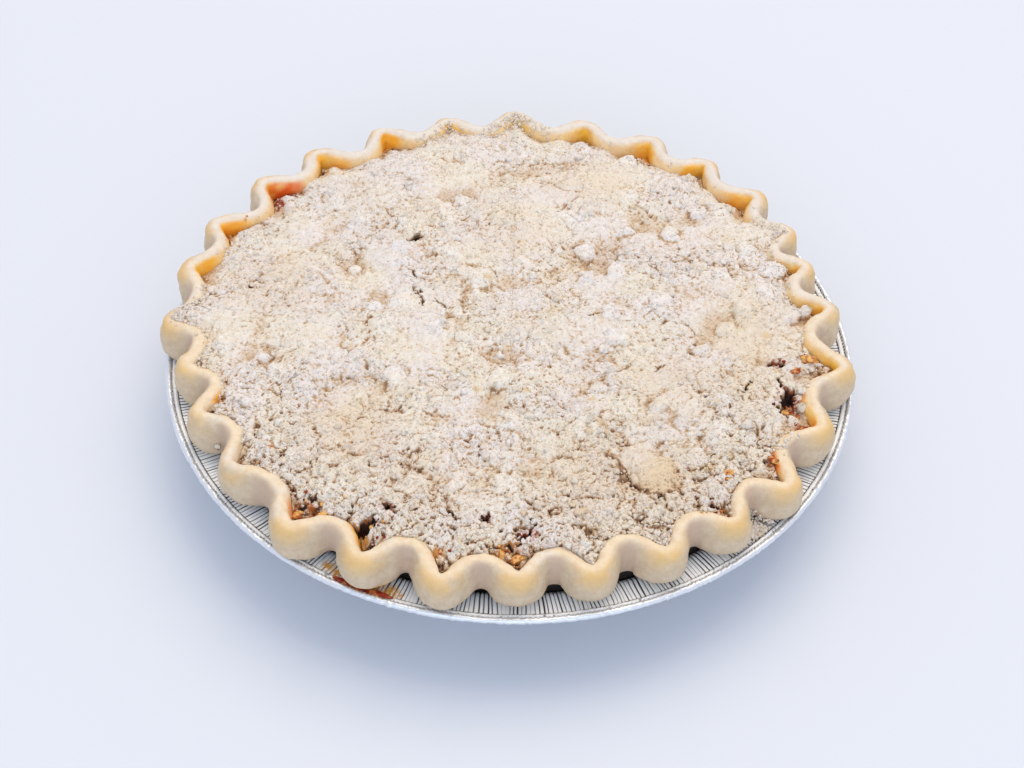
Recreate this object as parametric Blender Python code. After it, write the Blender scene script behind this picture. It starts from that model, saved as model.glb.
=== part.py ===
"""An apple crumble pie in its foil tin.

The pie stands on the table at z = 0 and its axis is Z. The front is -Y and the right is +X. Sizes are in
metres, and heights named "above the rim" are measured from the middle of the tin's rolled bead.
"""

import math

import bmesh
import bpy
import numpy as np
from mathutils import geometry, noise

MM = 0.001
GAP = 0.3 * MM
SHARP_ANGLE = math.radians(50)
CRUMBLE_SHARP_ANGLE = math.radians(35)

# Foil tin
TIN_COLUMNS = 64
FOIL = 0.8 * MM
RIM_HEIGHT = 29.0 * MM
RIM_RADIUS = 122.0 * MM
BEAD_RADIUS = 1.1 * MM
BEAD_TURN = 110
BEAD_STEPS = 5
FLOOR_RADIUS = 88.0 * MM
WALL_FOOT_RADIUS = 91.2 * MM
WALL_FOOT_RISE = 1.2 * MM
# Points of the tin's inner line near the rim: radius, then height above the rim
WALL_TOP = (108.8 * MM, -1.6 * MM)
FLANGE_INNER = (110.2 * MM, -0.9 * MM)
FLANGE_OUTER = (117.8 * MM, -0.5 * MM)
RAISED_RING = (118.9 * MM, 0.3 * MM)
GROOVE = (119.6 * MM, -0.2 * MM)

# Pastry rim: one row for each pinch, going round from the lobe at the left past the front. A row holds the
# pinch's width in degrees and how far, in mm, its lobe and the notch after it reach from the axis.
FIRST_LOBE = 182.2
PINCHES = (
    (11.0, 119.0, 109.5), (12.0, 114.0, 106.5), (13.0, 114.5, 107.5), (16.0, 115.0, 110.0),
    (13.0, 119.0, 110.0), (13.0, 117.7, 108.0), (12.0, 118.1, 109.5), (12.0, 114.7, 107.0),
    (12.5, 115.0, 106.5), (13.0, 115.0, 107.5), (12.0, 115.5, 108.0), (14.5, 117.5, 107.5),
    (15.0, 115.0, 108.0), (15.0, 116.5, 105.5), (11.0, 113.5, 103.5), (10.5, 111.0, 104.0),
    (11.0, 114.0, 108.5), (12.5, 116.5, 109.5), (12.0, 117.0, 109.0), (13.0, 116.5, 109.0),
    (14.0, 116.0, 109.0), (13.0, 117.0, 107.5), (13.0, 115.5, 108.5), (13.5, 117.0, 107.5),
    (13.0, 119.0, 111.0), (13.5, 119.0, 109.5), (12.0, 119.5, 112.5), (13.5, 118.5, 112.5),
)
CREST_HEIGHT = 16.0 * MM
NOTCH_LIFT = 0.9 * MM
# How much broader the notches are than the lobes, and how much thinner the rim is on the hollow side of a bend
NOTCH_BREADTH = 0.25
BEND_THINNING = 0.3
COLUMNS_A_PINCH = 6
CRUST_FOOT_RADIUS = 108.0 * MM
# How much the rim's foot spreads on the sides of a lobe, and under the lobes at the pie's left and right, and the
# share of the crest's height where that ends
FLANK_SPREAD = 2.0 * MM
SIDE_SPREAD = 1.6 * MM
SPREAD_TOP = 0.6
CRUST_THICKNESS = 4.0 * MM
CRUST_INNER_RADIUS = 104.6 * MM
CRUST_LIP_DROP = 2.0 * MM
# Across the rim from its outer heel over the crest to the inner wall: mm out from the middle line of the
# wave, share of the crest's height, and how far the middle line is held out over the tin's wall.
RIM_SECTION = (
    (0.3, 0.076, 1.0), (2.8, 0.17, 0.5), (4.3, 0.42, 0.15), (4.4, 0.68, 0.0), (3.0, 0.91, 0.0),
    (0.3, 1.0, 0.0), (-2.4, 0.95, 0.0), (-3.8, 0.78, 0.0), (-4.2, 0.5, 0.0),
)

# Apple filling
FILLING_TOP = 8.0 * MM
FILLING_GAP = 0.8 * MM

# Crumble topping, with its heights above the rim
CRUMBLE_EDGE = 14.8 * MM
LOBE_FALL = 1.2 * MM
LEAST_EDGE = FILLING_TOP + 1.2 * MM
CRUMBLE_SHOULDER = 15.3 * MM
CRUMBLE_DOME = 2.8 * MM
DOME_POWER = 2.4
CRUMBLE_CLEARANCE = 1.0 * MM
BUMP_SPACING = 6.8 * MM
BUMP_NUDGE = 1.5 * MM
BUMP_LENGTH = 9.0 * MM
BUMP_HEIGHT = 3.2 * MM
BUMP_ROOM = 0.6
OUTLINE_STEPS_A_PINCH = 12
# Pockets at the crumble's edge, where it lies lower: the place, its half width in pinches and the depth in mm
POCKETS = (
    (1, 0.35, 1.0), (2, 0.45, 2.0), (3, 0.45, 1.8), (4, 0.5, 4.0), (4.92, 0.5, 5.0), (6, 0.5, 2.6), (7, 0.5, 4.4),
    (8, 0.3, 1.0), (10, 0.4, 1.6), (11, 0.5, 3.2), (12, 0.5, 3.0), (13, 0.55, 3.8), (14, 0.5, 3.2), (15, 0.5, 2.8),
    (17, 0.6, 5.0), (18, 0.55, 4.0), (19, 0.6, 5.0), (20, 0.5, 3.4), (20.6, 0.3, 2.6), (21.1, 0.4, 0.8),
    (22, 0.4, 1.4), (23, 0.55, 4.0), (24, 0.55, 4.4), (25, 0.55, 5.2), (26, 0.5, 4.0), (27, 0.5, 2.8),
)
# How much of a pocket's depth the crumble falls there, and how much of it the crumble stays back from the crust
POCKET_FALL = 1.05
POCKET_GAP = 0.22
POCKET_REST = 0.2 * MM
# Dents in the crumble: x, y, radius and depth in mm
DENTS = ((94.2, -34.6, 6.0, 4.5), (-36.3, 40.1, 4.0, 2.0), (1.0, -102.0, 6.0, 2.5), (-43.5, -95.2, 5.0, 3.0))
SWELLS = 6
SWELL_HEIGHT = 0.55 * MM
SWELL_LENGTHS = (30.0 * MM, 60.0 * MM)
SWELL_POWER = 6

# Lumps of crumble: x, y and radius in mm of those that stand out, then the spread of the others
LARGE_LUMPS = (
    (45.3, -70.5, 10.0), (62.5, -64.1, 4.6), (20.0, -71.7, 5.0), (30.0, -88.1, 5.0), (66.6, -77.5, 5.6),
    (-58.6, -54.9, 5.0), (0.0, -78.0, 4.8), (-30.0, -80.0, 5.0), (52.0, 10.0, 5.2), (-20.0, 62.0, 4.8),
)
LUMP_COUNT = 66
LUMP_LARGEST = 5.0 * MM
LUMP_SMALLEST = 3.0 * MM
LUMP_SPACING = 1.15
LUMP_TRIES = 60
LUMP_RIM_ROOM = 1.2
FINE_LUMP = 5.2 * MM
LUMP_FLATNESS = 0.7
LUMP_ROUGHNESS = 0.16
LUMP_SUNK = 0.22
SEED = 28


def clear_scene():
    for thing in list(bpy.data.objects):
        bpy.data.objects.remove(thing, do_unlink=True)


def finish_of(name, colour, roughness, metallic=0.0):
    material = bpy.data.materials.new(name)
    material.use_nodes = True
    shader = material.node_tree.nodes["Principled BSDF"]
    shader.inputs["Base Color"].default_value = (*colour, 1.0)
    shader.inputs["Roughness"].default_value = roughness
    shader.inputs["Metallic"].default_value = metallic
    material.diffuse_color = (*colour, 1.0)
    return material


def triangulate(mesh):
    shape = bmesh.new()
    shape.from_mesh(mesh)
    bmesh.ops.triangulate(shape, faces=shape.faces[:])
    shape.to_mesh(mesh)
    shape.free()


def solid_object(name, points, faces, material):
    mesh = bpy.data.meshes.new(name)
    mesh.from_pydata(points, [], faces)
    triangulate(mesh)
    mesh.materials.append(material)
    mesh.shade_smooth()
    mesh.set_sharp_from_angle(angle=SHARP_ANGLE)
    solid = bpy.data.objects.new(name, mesh)
    bpy.context.scene.collection.objects.link(solid)
    return solid


def solid_from_rings(name, rings, first_height, last_height, material):
    """Closes the rings, which run outwards below and back inwards above, with a point on the axis at each end."""
    rows, columns = rings.shape[:2]
    points = np.concatenate([rings.reshape(-1, 3), [(0, 0, first_height), (0, 0, last_height)]])
    first, last, last_row = rows * columns, rows * columns + 1, (rows - 1) * columns
    here = range(columns)
    following = [*here[1:], 0]
    faces = [(first, b, a) for a, b in zip(here, following)]
    for row in range(rows - 1):
        low, high = row * columns, (row + 1) * columns
        faces += [(low + a, low + b, high + b, high + a) for a, b in zip(here, following)]
    faces += [(last, last_row + a, last_row + b) for a, b in zip(here, following)]
    return solid_object(name, points.tolist(), faces, material)


def turned_rings(section, columns):
    """The section's points, each a radius and a height, turned about the axis."""
    angle = np.arange(columns) * 2 * math.pi / columns
    radius, height = np.array(section).T
    rings = np.empty((len(radius), columns, 3))
    rings[..., 0] = radius[:, None] * np.cos(angle)
    rings[..., 1] = radius[:, None] * np.sin(angle)
    rings[..., 2] = height[:, None]
    return rings


def tin_inside():
    """The tin's inner line from the edge of its floor to the groove beside the bead, as radii and heights."""
    near_rim = [WALL_TOP, FLANGE_INNER, FLANGE_OUTER, RAISED_RING, GROOVE]
    line = [(FLOOR_RADIUS, FOIL), (WALL_FOOT_RADIUS, FOIL + WALL_FOOT_RISE)]
    return line + [(radius, RIM_HEIGHT + above) for radius, above in near_rim]


def foil_tin():
    """A dish with a flanged rim: its inner line, the rolled bead, then the same line a foil's thickness lower."""
    inside = np.array(tin_inside())
    ahead = np.roll(inside, -1, axis=0) - np.roll(inside, 1, axis=0)
    ahead[0] = (1, 0)
    ahead[-1] = inside[-1] - inside[-2]
    ahead /= np.linalg.norm(ahead, axis=1)[:, None]
    underside = inside + FOIL * np.stack([ahead[:, 1], -ahead[:, 0]], axis=1)
    turn = np.radians(np.linspace(-BEAD_TURN, BEAD_TURN, BEAD_STEPS))
    middle = RIM_RADIUS - BEAD_RADIUS
    bead = np.stack([middle + BEAD_RADIUS * np.cos(turn), RIM_HEIGHT + BEAD_RADIUS * np.sin(turn)], axis=1)
    section = np.concatenate([underside, bead, inside[::-1]])
    foil = finish_of("aluminium_foil", (0.72, 0.73, 0.76), 0.32, 1.0)
    return solid_from_rings("foil_tin", turned_rings(section, TIN_COLUMNS), 0.0, FOIL, foil)


def pinch_table():
    """Each pinch's first angle and width in radians, its lobe, its notch and the next lobe's reach in metres."""
    width, lobe, notch = np.array(PINCHES).T
    width = np.radians(width * 360 / width.sum())
    start = math.radians(FIRST_LOBE) + np.concatenate([[0], np.cumsum(width)[:-1]])
    return start, width, lobe * MM, notch * MM, np.roll(lobe, -1) * MM


def wave(place):
    """Angle, reach and lobe share at places counted in pinches: the reach swings from lobe to notch.

    The swing is cos t - b sin^2 t, with b the NOTCH_BREADTH, so a notch is rounder than a lobe's inner side.
    """
    start, width, lobe, notch, next_lobe = pinch_table()
    pinch = np.floor(place).astype(int) % len(PINCHES)
    along = place - np.floor(place)
    angle = start[pinch] + along * width[pinch]
    outer = np.where(along < 0.5, lobe[pinch], next_lobe[pinch])
    swing = np.cos(2 * math.pi * along) - NOTCH_BREADTH * np.sin(2 * math.pi * along) ** 2
    reach = (outer + notch[pinch]) / 2 + (outer - notch[pinch]) / 2 * swing
    return angle, reach, (1 + swing) / 2


def line_and_normal(place, held_out=0.0):
    """The wave's middle line in the plane and its outward normal. held_out moves the line out over the tin's wall."""
    lines = []
    for step in (0.0, -0.02, 0.02):
        angle, reach, _ = wave(place + step)
        reach = reach + held_out * np.maximum(CRUST_FOOT_RADIUS - reach, 0)
        lines.append(np.stack([reach * np.cos(angle), reach * np.sin(angle)], axis=-1))
    along = lines[2] - lines[1]
    normal = np.stack([along[:, 1], -along[:, 0]], axis=-1)
    return lines[0], normal / np.linalg.norm(normal, axis=1)[:, None]


def foot_spread(place, share):
    """How much further out the rim stands near its foot, at a share of the crest's height."""
    angle, _, lobe = wave(place)
    broad = FLANK_SPREAD * 4 * lobe * (1 - lobe) + SIDE_SPREAD * np.cos(angle) ** 2 * lobe
    return broad * max(1 - share / SPREAD_TOP, 0)


def wavy_ring(place, out, above_rim, held_out=0.0, spread=0.0):
    """One ring that follows the wave, moved out along its normal."""
    line, normal = line_and_normal(place, held_out)
    lobe_share = wave(place)[2]
    thinned = out * (1 - BEND_THINNING * (1 - lobe_share if out > 0 else lobe_share))
    ring = np.empty((len(place), 3))
    ring[:, :2] = line + normal * (thinned + spread)[:, None]
    ring[:, 2] = RIM_HEIGHT + above_rim
    return ring


def inner_face(place, drawn_in):
    """The inner face of the rim in the plane, drawn in towards the axis."""
    face = wavy_ring(place, RIM_SECTION[-1][0] * MM, 0.0)[:, :2]
    reach = np.linalg.norm(face, axis=1)
    return face * (1 - drawn_in / reach)[:, None]


def round_ring(place, radius, height):
    angle = wave(place)[0]
    return np.stack([radius * np.cos(angle), radius * np.sin(angle), np.full(len(place), height)], axis=-1)


def places(columns_a_pinch):
    return np.arange(len(PINCHES) * columns_a_pinch) / columns_a_pinch


def tin_wall_radius(height):
    """The inner radius of the tin's sloping wall at a height."""
    (foot, foot_height), (top, top_height) = tin_inside()[1:3]
    return foot + (top - foot) * (height - foot_height) / (top_height - foot_height)


def crest_height(place):
    """The rim stands a little higher over its notches than over its lobes."""
    return CREST_HEIGHT + NOTCH_LIFT * (1 - wave(place)[2])


def pastry_crust():
    """A dish of pastry that lines the tin and rises over the flange in a fluted rim."""
    place = places(COLUMNS_A_PINCH)
    floor = FOIL + GAP
    lip = RIM_HEIGHT - CRUST_LIP_DROP
    rings = [
        round_ring(place, FLOOR_RADIUS, floor),
        round_ring(place, tin_wall_radius(lip) - 1.5 * GAP, lip),
        round_ring(place, tin_wall_radius(lip) - GAP, RIM_HEIGHT - GAP),
    ]
    for out, share, held_out in RIM_SECTION:
        spread = foot_spread(place, share) if out > 0 else 0.0
        rings.append(wavy_ring(place, out * MM, share * crest_height(place), held_out, spread))
    rings.append(round_ring(place, CRUST_INNER_RADIUS, RIM_HEIGHT))
    rings.append(round_ring(place, FLOOR_RADIUS - CRUST_THICKNESS, floor + CRUST_THICKNESS))
    pastry = finish_of("baked_pastry", (0.86, 0.70, 0.47), 0.55)
    return solid_from_rings("pastry_crust", np.array(rings), floor, floor + CRUST_THICKNESS, pastry)


def apple_filling():
    """Fills the pastry dish up to the underside of the crumble."""
    place = places(COLUMNS_A_PINCH)
    floor = FOIL + GAP + CRUST_THICKNESS + GAP
    top = np.full(len(place), RIM_HEIGHT + FILLING_TOP)
    rings = [
        round_ring(place, FLOOR_RADIUS - CRUST_THICKNESS - FILLING_GAP, floor),
        round_ring(place, CRUST_INNER_RADIUS - FILLING_GAP, RIM_HEIGHT),
        np.column_stack([inner_face(place, FILLING_GAP), top]),
    ]
    fruit = finish_of("cooked_apple", (0.55, 0.16, 0.03), 0.3)
    return solid_from_rings("apple_filling", np.array(rings), floor, RIM_HEIGHT + FILLING_TOP, fruit)


def pocket_depth(place):
    """How deep the pockets at the crumble's edge are: each falls off from its middle as a cosine."""
    depth = np.zeros(len(place))
    for middle, half_width, deepest in POCKETS:
        away = np.abs((place - middle + len(PINCHES) / 2) % len(PINCHES) - len(PINCHES) / 2) / half_width
        depth = np.maximum(depth, deepest * MM * np.cos(math.pi / 2 * np.minimum(away, 1)))
    return depth


def crumble_line(place):
    """The outline of the crumble in the plane: the crust's inner face drawn in towards the axis."""
    return inner_face(place, CRUMBLE_CLEARANCE + POCKET_REST + POCKET_GAP * pocket_depth(place))


def edge_height(place):
    """Height above the rim of the crumble's edge: lower in the lobes, and lower still in the pockets."""
    return np.maximum(CRUMBLE_EDGE - LOBE_FALL * wave(place)[2] - POCKET_FALL * pocket_depth(place), LEAST_EDGE)


def swells(x, y, rng):
    """Broad low waves in seeded directions and of seeded lengths."""
    height = np.zeros_like(x)
    for _ in range(SWELLS):
        heading, phase = rng.uniform(0, 2 * math.pi, 2)
        length = rng.uniform(*SWELL_LENGTHS)
        across = x * math.cos(heading) + y * math.sin(heading)
        height += SWELL_HEIGHT * np.sin(2 * math.pi * across / length + phase)
    return height


def crumble_top(x, y, edge_share):
    """Height above the rim: a low dome that falls to the edge, with broad swells and a few dents."""
    height = CRUMBLE_SHOULDER + CRUMBLE_DOME * (1 - edge_share**DOME_POWER)
    height += swells(x, y, np.random.default_rng(SEED)) * (1 - edge_share**SWELL_POWER)
    for dent_x, dent_y, radius, depth in DENTS:
        away = np.hypot(x - dent_x * MM, y - dent_y * MM) / (radius * MM)
        height -= depth * MM * np.exp(-(away**2))
    return height


def outline_by_angle():
    """The crumble's outline as sorted angles and the reach at each."""
    outline = crumble_line(places(OUTLINE_STEPS_A_PINCH))
    angle = np.arctan2(outline[:, 1], outline[:, 0])
    order = np.argsort(angle)
    return angle[order], np.hypot(*outline.T)[order]


def share_of_outline(x, y, outline):
    """How far out a point lies: 0 on the axis, 1 on the outline."""
    return np.hypot(x, y) / np.interp(np.arctan2(y, x), *outline, period=2 * math.pi)


def core_points(outline):
    """A lattice of triangles with each point nudged at random, well inside the outline."""
    rng = np.random.default_rng(SEED)
    reach = int(CRUST_INNER_RADIUS / BUMP_SPACING) + 2
    across, along = np.meshgrid(np.arange(-reach, reach + 1), np.arange(-reach, reach + 1))
    x = (across + 0.5 * (along % 2)) * BUMP_SPACING
    y = along * BUMP_SPACING * math.sqrt(3) / 2
    x, y = (axis.ravel() + rng.uniform(-BUMP_NUDGE, BUMP_NUDGE, axis.size) for axis in (x, y))
    room = 1 - BUMP_ROOM * BUMP_SPACING / CRUST_INNER_RADIUS
    kept = share_of_outline(x, y, outline) < room
    return np.stack([x[kept], y[kept]], axis=1)


def core_height(x, y, outline):
    """The dome with a bump or a dip at each point of the lattice."""
    height = crumble_top(x, y, share_of_outline(x, y, outline))
    bumps = [noise.noise((px / BUMP_LENGTH, py / BUMP_LENGTH, SEED)) for px, py in zip(x, y)]
    return RIM_HEIGHT + height + BUMP_HEIGHT * np.array(bumps)


def crumble_core(outline, material):
    """A slab with a flat underside, a short side that follows the crust and a bumpy domed top."""
    edge = crumble_line(places(COLUMNS_A_PINCH))
    count = len(edge)
    spread = np.concatenate([edge, core_points(outline)])
    flat, _, top_faces, *_ = geometry.delaunay_2d_cdt(spread.tolist(), [], [list(range(count))], 1, 1e-7)
    x, y = np.array(flat).T
    height = core_height(x, y, outline)
    height[:count] = RIM_HEIGHT + edge_height(places(COLUMNS_A_PINCH))
    underside = RIM_HEIGHT + FILLING_TOP + GAP
    points = np.column_stack([x, y, height]).tolist()
    points += [(across, along, underside) for across, along in edge]
    below = len(flat)
    points.append((0, 0, underside))
    faces = [list(face) for face in top_faces]
    for here in range(count):
        following = (here + 1) % count
        faces.append((below + here, below + following, following, here))
        faces.append((below + count, below + following, below + here))
    return solid_object("crumble_topping", points, faces, material)


def lump_places(outline):
    """x, y and radius of each lump: the named ones, then seeded ones from the largest down, spread evenly."""
    chosen = [(x * MM, y * MM, radius * MM) for x, y, radius in LARGE_LUMPS]
    rng = np.random.default_rng(SEED)
    for radius in np.geomspace(LUMP_LARGEST, LUMP_SMALLEST, LUMP_COUNT):
        for _ in range(LUMP_TRIES):
            distance = CRUST_INNER_RADIUS * math.sqrt(rng.uniform())
            direction = rng.uniform(0, 2 * math.pi)
            x, y = distance * math.cos(direction), distance * math.sin(direction)
            clear_of_rim = share_of_outline(x, y, outline) * (1 + LUMP_RIM_ROOM * radius / distance) < 1
            crowded = any(
                math.hypot(x - other_x, y - other_y) < LUMP_SPACING * (radius + other)
                for other_x, other_y, other in chosen
            )
            if clear_of_rim and not crowded:
                chosen.append((x, y, radius))
                break
    return chosen


def crumble_lump(x, y, radius, outline, rng, material):
    """A flattened ball of a few faces with its corners pushed in and out, sunk a little into the core."""
    shape = bmesh.new()
    detail = 2 if radius > FINE_LUMP else 1
    bmesh.ops.create_icosphere(shape, subdivisions=detail, radius=radius)
    spin = rng.uniform(0, 2 * math.pi)
    surface = float(core_height(np.array([x]), np.array([y]), outline)[0])
    flatness = LUMP_FLATNESS * min(1.0, LUMP_LARGEST / radius) ** 0.5
    lowest = RIM_HEIGHT + FILLING_TOP + 2 * GAP + flatness * radius * (1 + LUMP_ROUGHNESS)
    middle = max(surface - LUMP_SUNK * radius, lowest)
    for corner in shape.verts:
        push = 1 + rng.uniform(-LUMP_ROUGHNESS, LUMP_ROUGHNESS)
        across, along, up = corner.co * push
        corner.co = (
            x + across * math.cos(spin) - along * math.sin(spin),
            y + across * math.sin(spin) + along * math.cos(spin),
            middle + flatness * up,
        )
    mesh = bpy.data.meshes.new("lump")
    shape.to_mesh(mesh)
    shape.free()
    mesh.materials.append(material)
    return bpy.data.objects.new("lump", mesh)


def keep_main_body(mesh):
    """Leaves out loose scraps and sealed hollows, so that one closed body stays."""
    shape = bmesh.new()
    shape.from_mesh(mesh)
    shape.verts.ensure_lookup_table()
    unseen = set(shape.verts)
    bodies = []
    while unseen:
        body, edge = set(), [unseen.pop()]
        while edge:
            point = edge.pop()
            body.add(point)
            for link in point.link_edges:
                other = link.other_vert(point)
                if other in unseen:
                    unseen.remove(other)
                    edge.append(other)
        bodies.append(body)
    bodies.sort(key=len)
    loose = [point for body in bodies[:-1] for point in body]
    bmesh.ops.delete(shape, geom=loose, context="VERTS")
    bmesh.ops.triangulate(shape, faces=shape.faces[:])
    shape.to_mesh(mesh)
    shape.free()


def crumble_topping():
    """The core with its lumps joined to it by one union."""
    crumble = finish_of("butter_crumble", (0.74, 0.65, 0.53), 0.9)
    outline = outline_by_angle()
    core = crumble_core(outline, crumble)
    lumps = bpy.data.collections.new("crumble_lumps")
    bpy.context.scene.collection.children.link(lumps)
    rng = np.random.default_rng(SEED + 1)
    for x, y, radius in lump_places(outline):
        lumps.objects.link(crumble_lump(x, y, radius, outline, rng, crumble))
    union = core.modifiers.new("join lumps", "BOOLEAN")
    union.operation = "UNION"
    union.operand_type = "COLLECTION"
    union.collection = lumps
    union.solver = "MANIFOLD"
    bpy.context.view_layer.update()
    joined = bpy.data.meshes.new_from_object(core.evaluated_get(bpy.context.evaluated_depsgraph_get()))
    core.modifiers.remove(union)
    core.data = joined
    joined.name = "crumble_topping"
    for lump in list(lumps.objects):
        bpy.data.objects.remove(lump, do_unlink=True)
    bpy.data.collections.remove(lumps)
    keep_main_body(joined)
    joined.shade_smooth()
    joined.set_sharp_from_angle(angle=CRUMBLE_SHARP_ANGLE)
    return core


def apple_crumble_pie():
    clear_scene()
    pie = bpy.data.objects.new("apple_crumble_pie", None)
    bpy.context.scene.collection.objects.link(pie)
    for piece in (foil_tin(), pastry_crust(), apple_filling(), crumble_topping()):
        piece.parent = pie


apple_crumble_pie()
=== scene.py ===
"""The looks of an apple crumble pie in its foil tin, from the pleated foil down to single grains of crumble.

Lengths are in millimetres until a mesh is made. The pie's axis is Z, its front is -Y and its right is +X.
Heights called "above" are measured from the middle of the tin's rolled bead. A "place" goes round the
crust and is counted in pinches, so 4.0 is the top of the fifth lobe and 4.5 the notch after it.
"""

import itertools
import math

import bpy
import numpy as np
from mathutils import Matrix, Vector


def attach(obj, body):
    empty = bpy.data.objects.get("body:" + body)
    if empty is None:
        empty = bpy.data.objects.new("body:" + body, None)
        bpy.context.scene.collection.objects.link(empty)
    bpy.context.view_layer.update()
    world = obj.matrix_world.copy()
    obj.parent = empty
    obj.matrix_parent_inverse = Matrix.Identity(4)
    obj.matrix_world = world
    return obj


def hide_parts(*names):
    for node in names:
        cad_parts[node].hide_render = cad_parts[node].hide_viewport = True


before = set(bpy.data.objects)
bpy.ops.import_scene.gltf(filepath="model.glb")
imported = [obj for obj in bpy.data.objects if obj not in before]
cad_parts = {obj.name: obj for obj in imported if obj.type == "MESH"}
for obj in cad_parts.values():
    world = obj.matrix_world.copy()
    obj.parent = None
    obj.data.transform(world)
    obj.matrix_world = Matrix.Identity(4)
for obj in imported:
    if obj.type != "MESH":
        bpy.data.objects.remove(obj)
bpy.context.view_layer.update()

MM = 0.001
SEED = 28
ROUND = 2 * math.pi

# Foil tin
FOIL = 0.8
RIM_HEIGHT = 29.0
RIM_RADIUS = 122.0
BEAD_RADIUS = 1.1
BEAD_TURN = 150
BEAD_STEPS = 15
FLOOR_RADIUS = 88.0
WALL_FOOT = (91.2, 2.0)
WALL_TOP = (108.8, 27.4)
WALL_STEPS = 9
# Points of the flange: radius, then height above
FLANGE = (
    (110.2, -0.9), (117.6, -0.5), (118.1, -0.5), (118.4, 0.05), (118.9, 0.35), (119.3, 0.3), (119.6, 0),
    (119.85, -0.1),
)
FLANGE_STEPS = 6
RING_FOOT = 118.1
GROOVE = 119.85
PLEATS = 530
PLEAT_DEPTH = 0.3
# How far each column of a pleat is pushed, from the sharp fold line over the pleat's flat back
PLEAT_FOLD = (-1.0, 0.55, 0.5)
# Radii between which the pleats start to lean, where they begin and end, and where the rolled rim begins
LEANING = (92, 112)
PLEATED = (89, 96, 117.5, 118.0)
ROLLED = (118.0, 118.6)
# Radii where the flange's white, nearly matt finish begins and ends, a painted reflection in place of the foil's bright
# shine, and where the painted shade in the bead's creases fades
BRIGHT = (107, 109, 119.7, 120.0)
CREASE_SHADE_FADE = (120.2, 121.0)
# Widths of the groove that the folds cross, and of the painted shade lines at the ring's foot and in the groove
GROOVE_WIDTH = 0.8
SHADE_LINE_WIDTHS = (0.25, 0.2)

# Pastry rim: a row for each pinch, with its width in degrees and the reach of its lobe and of the notch after it
FIRST_LOBE = 182.2
PINCHES = (
    (11, 119, 109.5), (12, 114, 106.5), (13, 114.5, 107.5), (16, 115, 110),
    (13, 119, 110), (13, 117.7, 108), (12, 118.1, 109.5), (12, 114.7, 107),
    (12.5, 115, 106.5), (13, 115, 107.5), (12, 115.5, 108), (14.5, 117.5, 107.5),
    (15, 115, 108), (15, 116.5, 105.5), (11, 113.5, 103.5), (10.5, 111, 104),
    (11, 114, 108.5), (12.5, 116.5, 109.5), (12, 117, 109), (13, 116.5, 109),
    (14, 116, 109), (13, 117, 107.5), (13, 115.5, 108.5), (13.5, 117, 107.5),
    (13, 119, 111), (13.5, 119, 109.5), (12, 119.5, 112.5), (13.5, 118.5, 112.5),
)
CREST_HEIGHT = 16.0
# Noise of the crest's height and of the crust's dents: amount, length and seed
CREST_UNEVEN = (0.8, 1.3, 31)
CRUST_DENTS = ((0.6, 9, 41), (0.4, 3.6, 42), (0.2, 1.5, 43))
NOTCH_LIFT = 0.9
NOTCH_ARCH = 1.0
# How much broader the notches are than the lobes, and how much thinner the rim is on the hollow side of a bend
NOTCH_BREADTH = 0.25
BEND_THINNING = 0.3
CRUST_FOOT_RADIUS = 108.0
# How much the rim's foot spreads on the sides of a lobe, and under the lobes at the pie's left and right, and the
# share of the crest's height where that ends
FLANK_SPREAD = 2.0
SIDE_SPREAD = 1.6
SPREAD_END = 0.6
CRUST_THICKNESS = 4.0
CRUST_INNER_RADIUS = 104.6
LIP = RIM_HEIGHT - 2.0
GAP = 0.3
# Across the rim from its outer heel over the crest to its inner wall: how far out from the wave's middle line,
# share of the crest's height, and how far the middle line is held out over the tin's wall
RIM_SECTION = (
    (0.3, 0.076, 1), (2.8, 0.17, 0.5), (4.3, 0.42, 0.15), (4.4, 0.68, 0), (3, 0.91, 0),
    (0.3, 1, 0), (-2.4, 0.95, 0), (-3.8, 0.78, 0), (-4.2, 0.5, 0),
)
CRUST_COLUMNS_A_PINCH = 40
SECTION_STEPS = 5
# A step along the wave that is short enough to tell its direction
NEARBY = 0.02

# Filling and crumble, with heights above
FILLING_TOP = 8.0
FILLING_SUNK = 1.6
FILLING_COLUMNS_A_PINCH = 20
FILLING_RINGS = 60
CRUMBLE_EDGE = 15.2
LOBE_FALL = 1.2
POCKET_FALL = 1.05
LEAST_EDGE = FILLING_TOP + 0.4
CRUMBLE_SHOULDER = 15.3
CRUMBLE_DOME = 2.8
DOME_POWER = 2.4
# How far the crumble's edge is pressed into the crust's side
CRUMBLE_PRESSED = 1.9
POCKET_REST = 0.2
# Pockets at the crumble's edge, where it lies lower: the place, its half width in pinches and the depth
POCKETS = (
    (1, 0.35, 1), (2, 0.45, 2), (3, 0.45, 1.8), (4, 0.5, 4), (4.92, 0.5, 5), (6, 0.5, 2.6), (7, 0.5, 4.4),
    (8, 0.3, 1), (10, 0.4, 1.6), (11, 0.5, 3.2), (12, 0.5, 3), (13, 0.55, 3.8), (14, 0.5, 3.2), (15, 0.5, 2.8),
    (17, 0.6, 5), (18, 0.55, 4), (19, 0.6, 5), (20, 0.5, 3.4), (20.6, 0.3, 2.6), (21.1, 0.4, 0.8),
    (22, 0.4, 1.4), (23, 0.55, 4), (24, 0.55, 4.4), (25, 0.55, 5.2), (26, 0.5, 4), (27, 0.5, 2.8),
)
POCKET_GAP = 0.22
SHALLOW_POCKET = 1.5
# Where the crumble lies over the rim: the place, its half width in pinches and how far out it reaches
COVERED = ((16.1, 0.5, 1.6), (-0.05, 0.5, 1.8))
COVER_HEIGHT = 0.4
COVER_RAISE = 1.2
OUTLINE_COLUMNS_A_PINCH = 24
SWELLS = 6
SWELL_HEIGHT = 0.55
SWELL_LENGTHS = (30.0, 60.0)
SWELL_POWER = 6
CORE_STEPS = 600
SKIRT_ROWS = 5
SKIRT_DRAWN_IN = 0.985
# Painted shade on the crumble's skirt
SKIRT_PAINTED_SHADE = 0.1
CORE_BOTTOM = FILLING_TOP - 4
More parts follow.
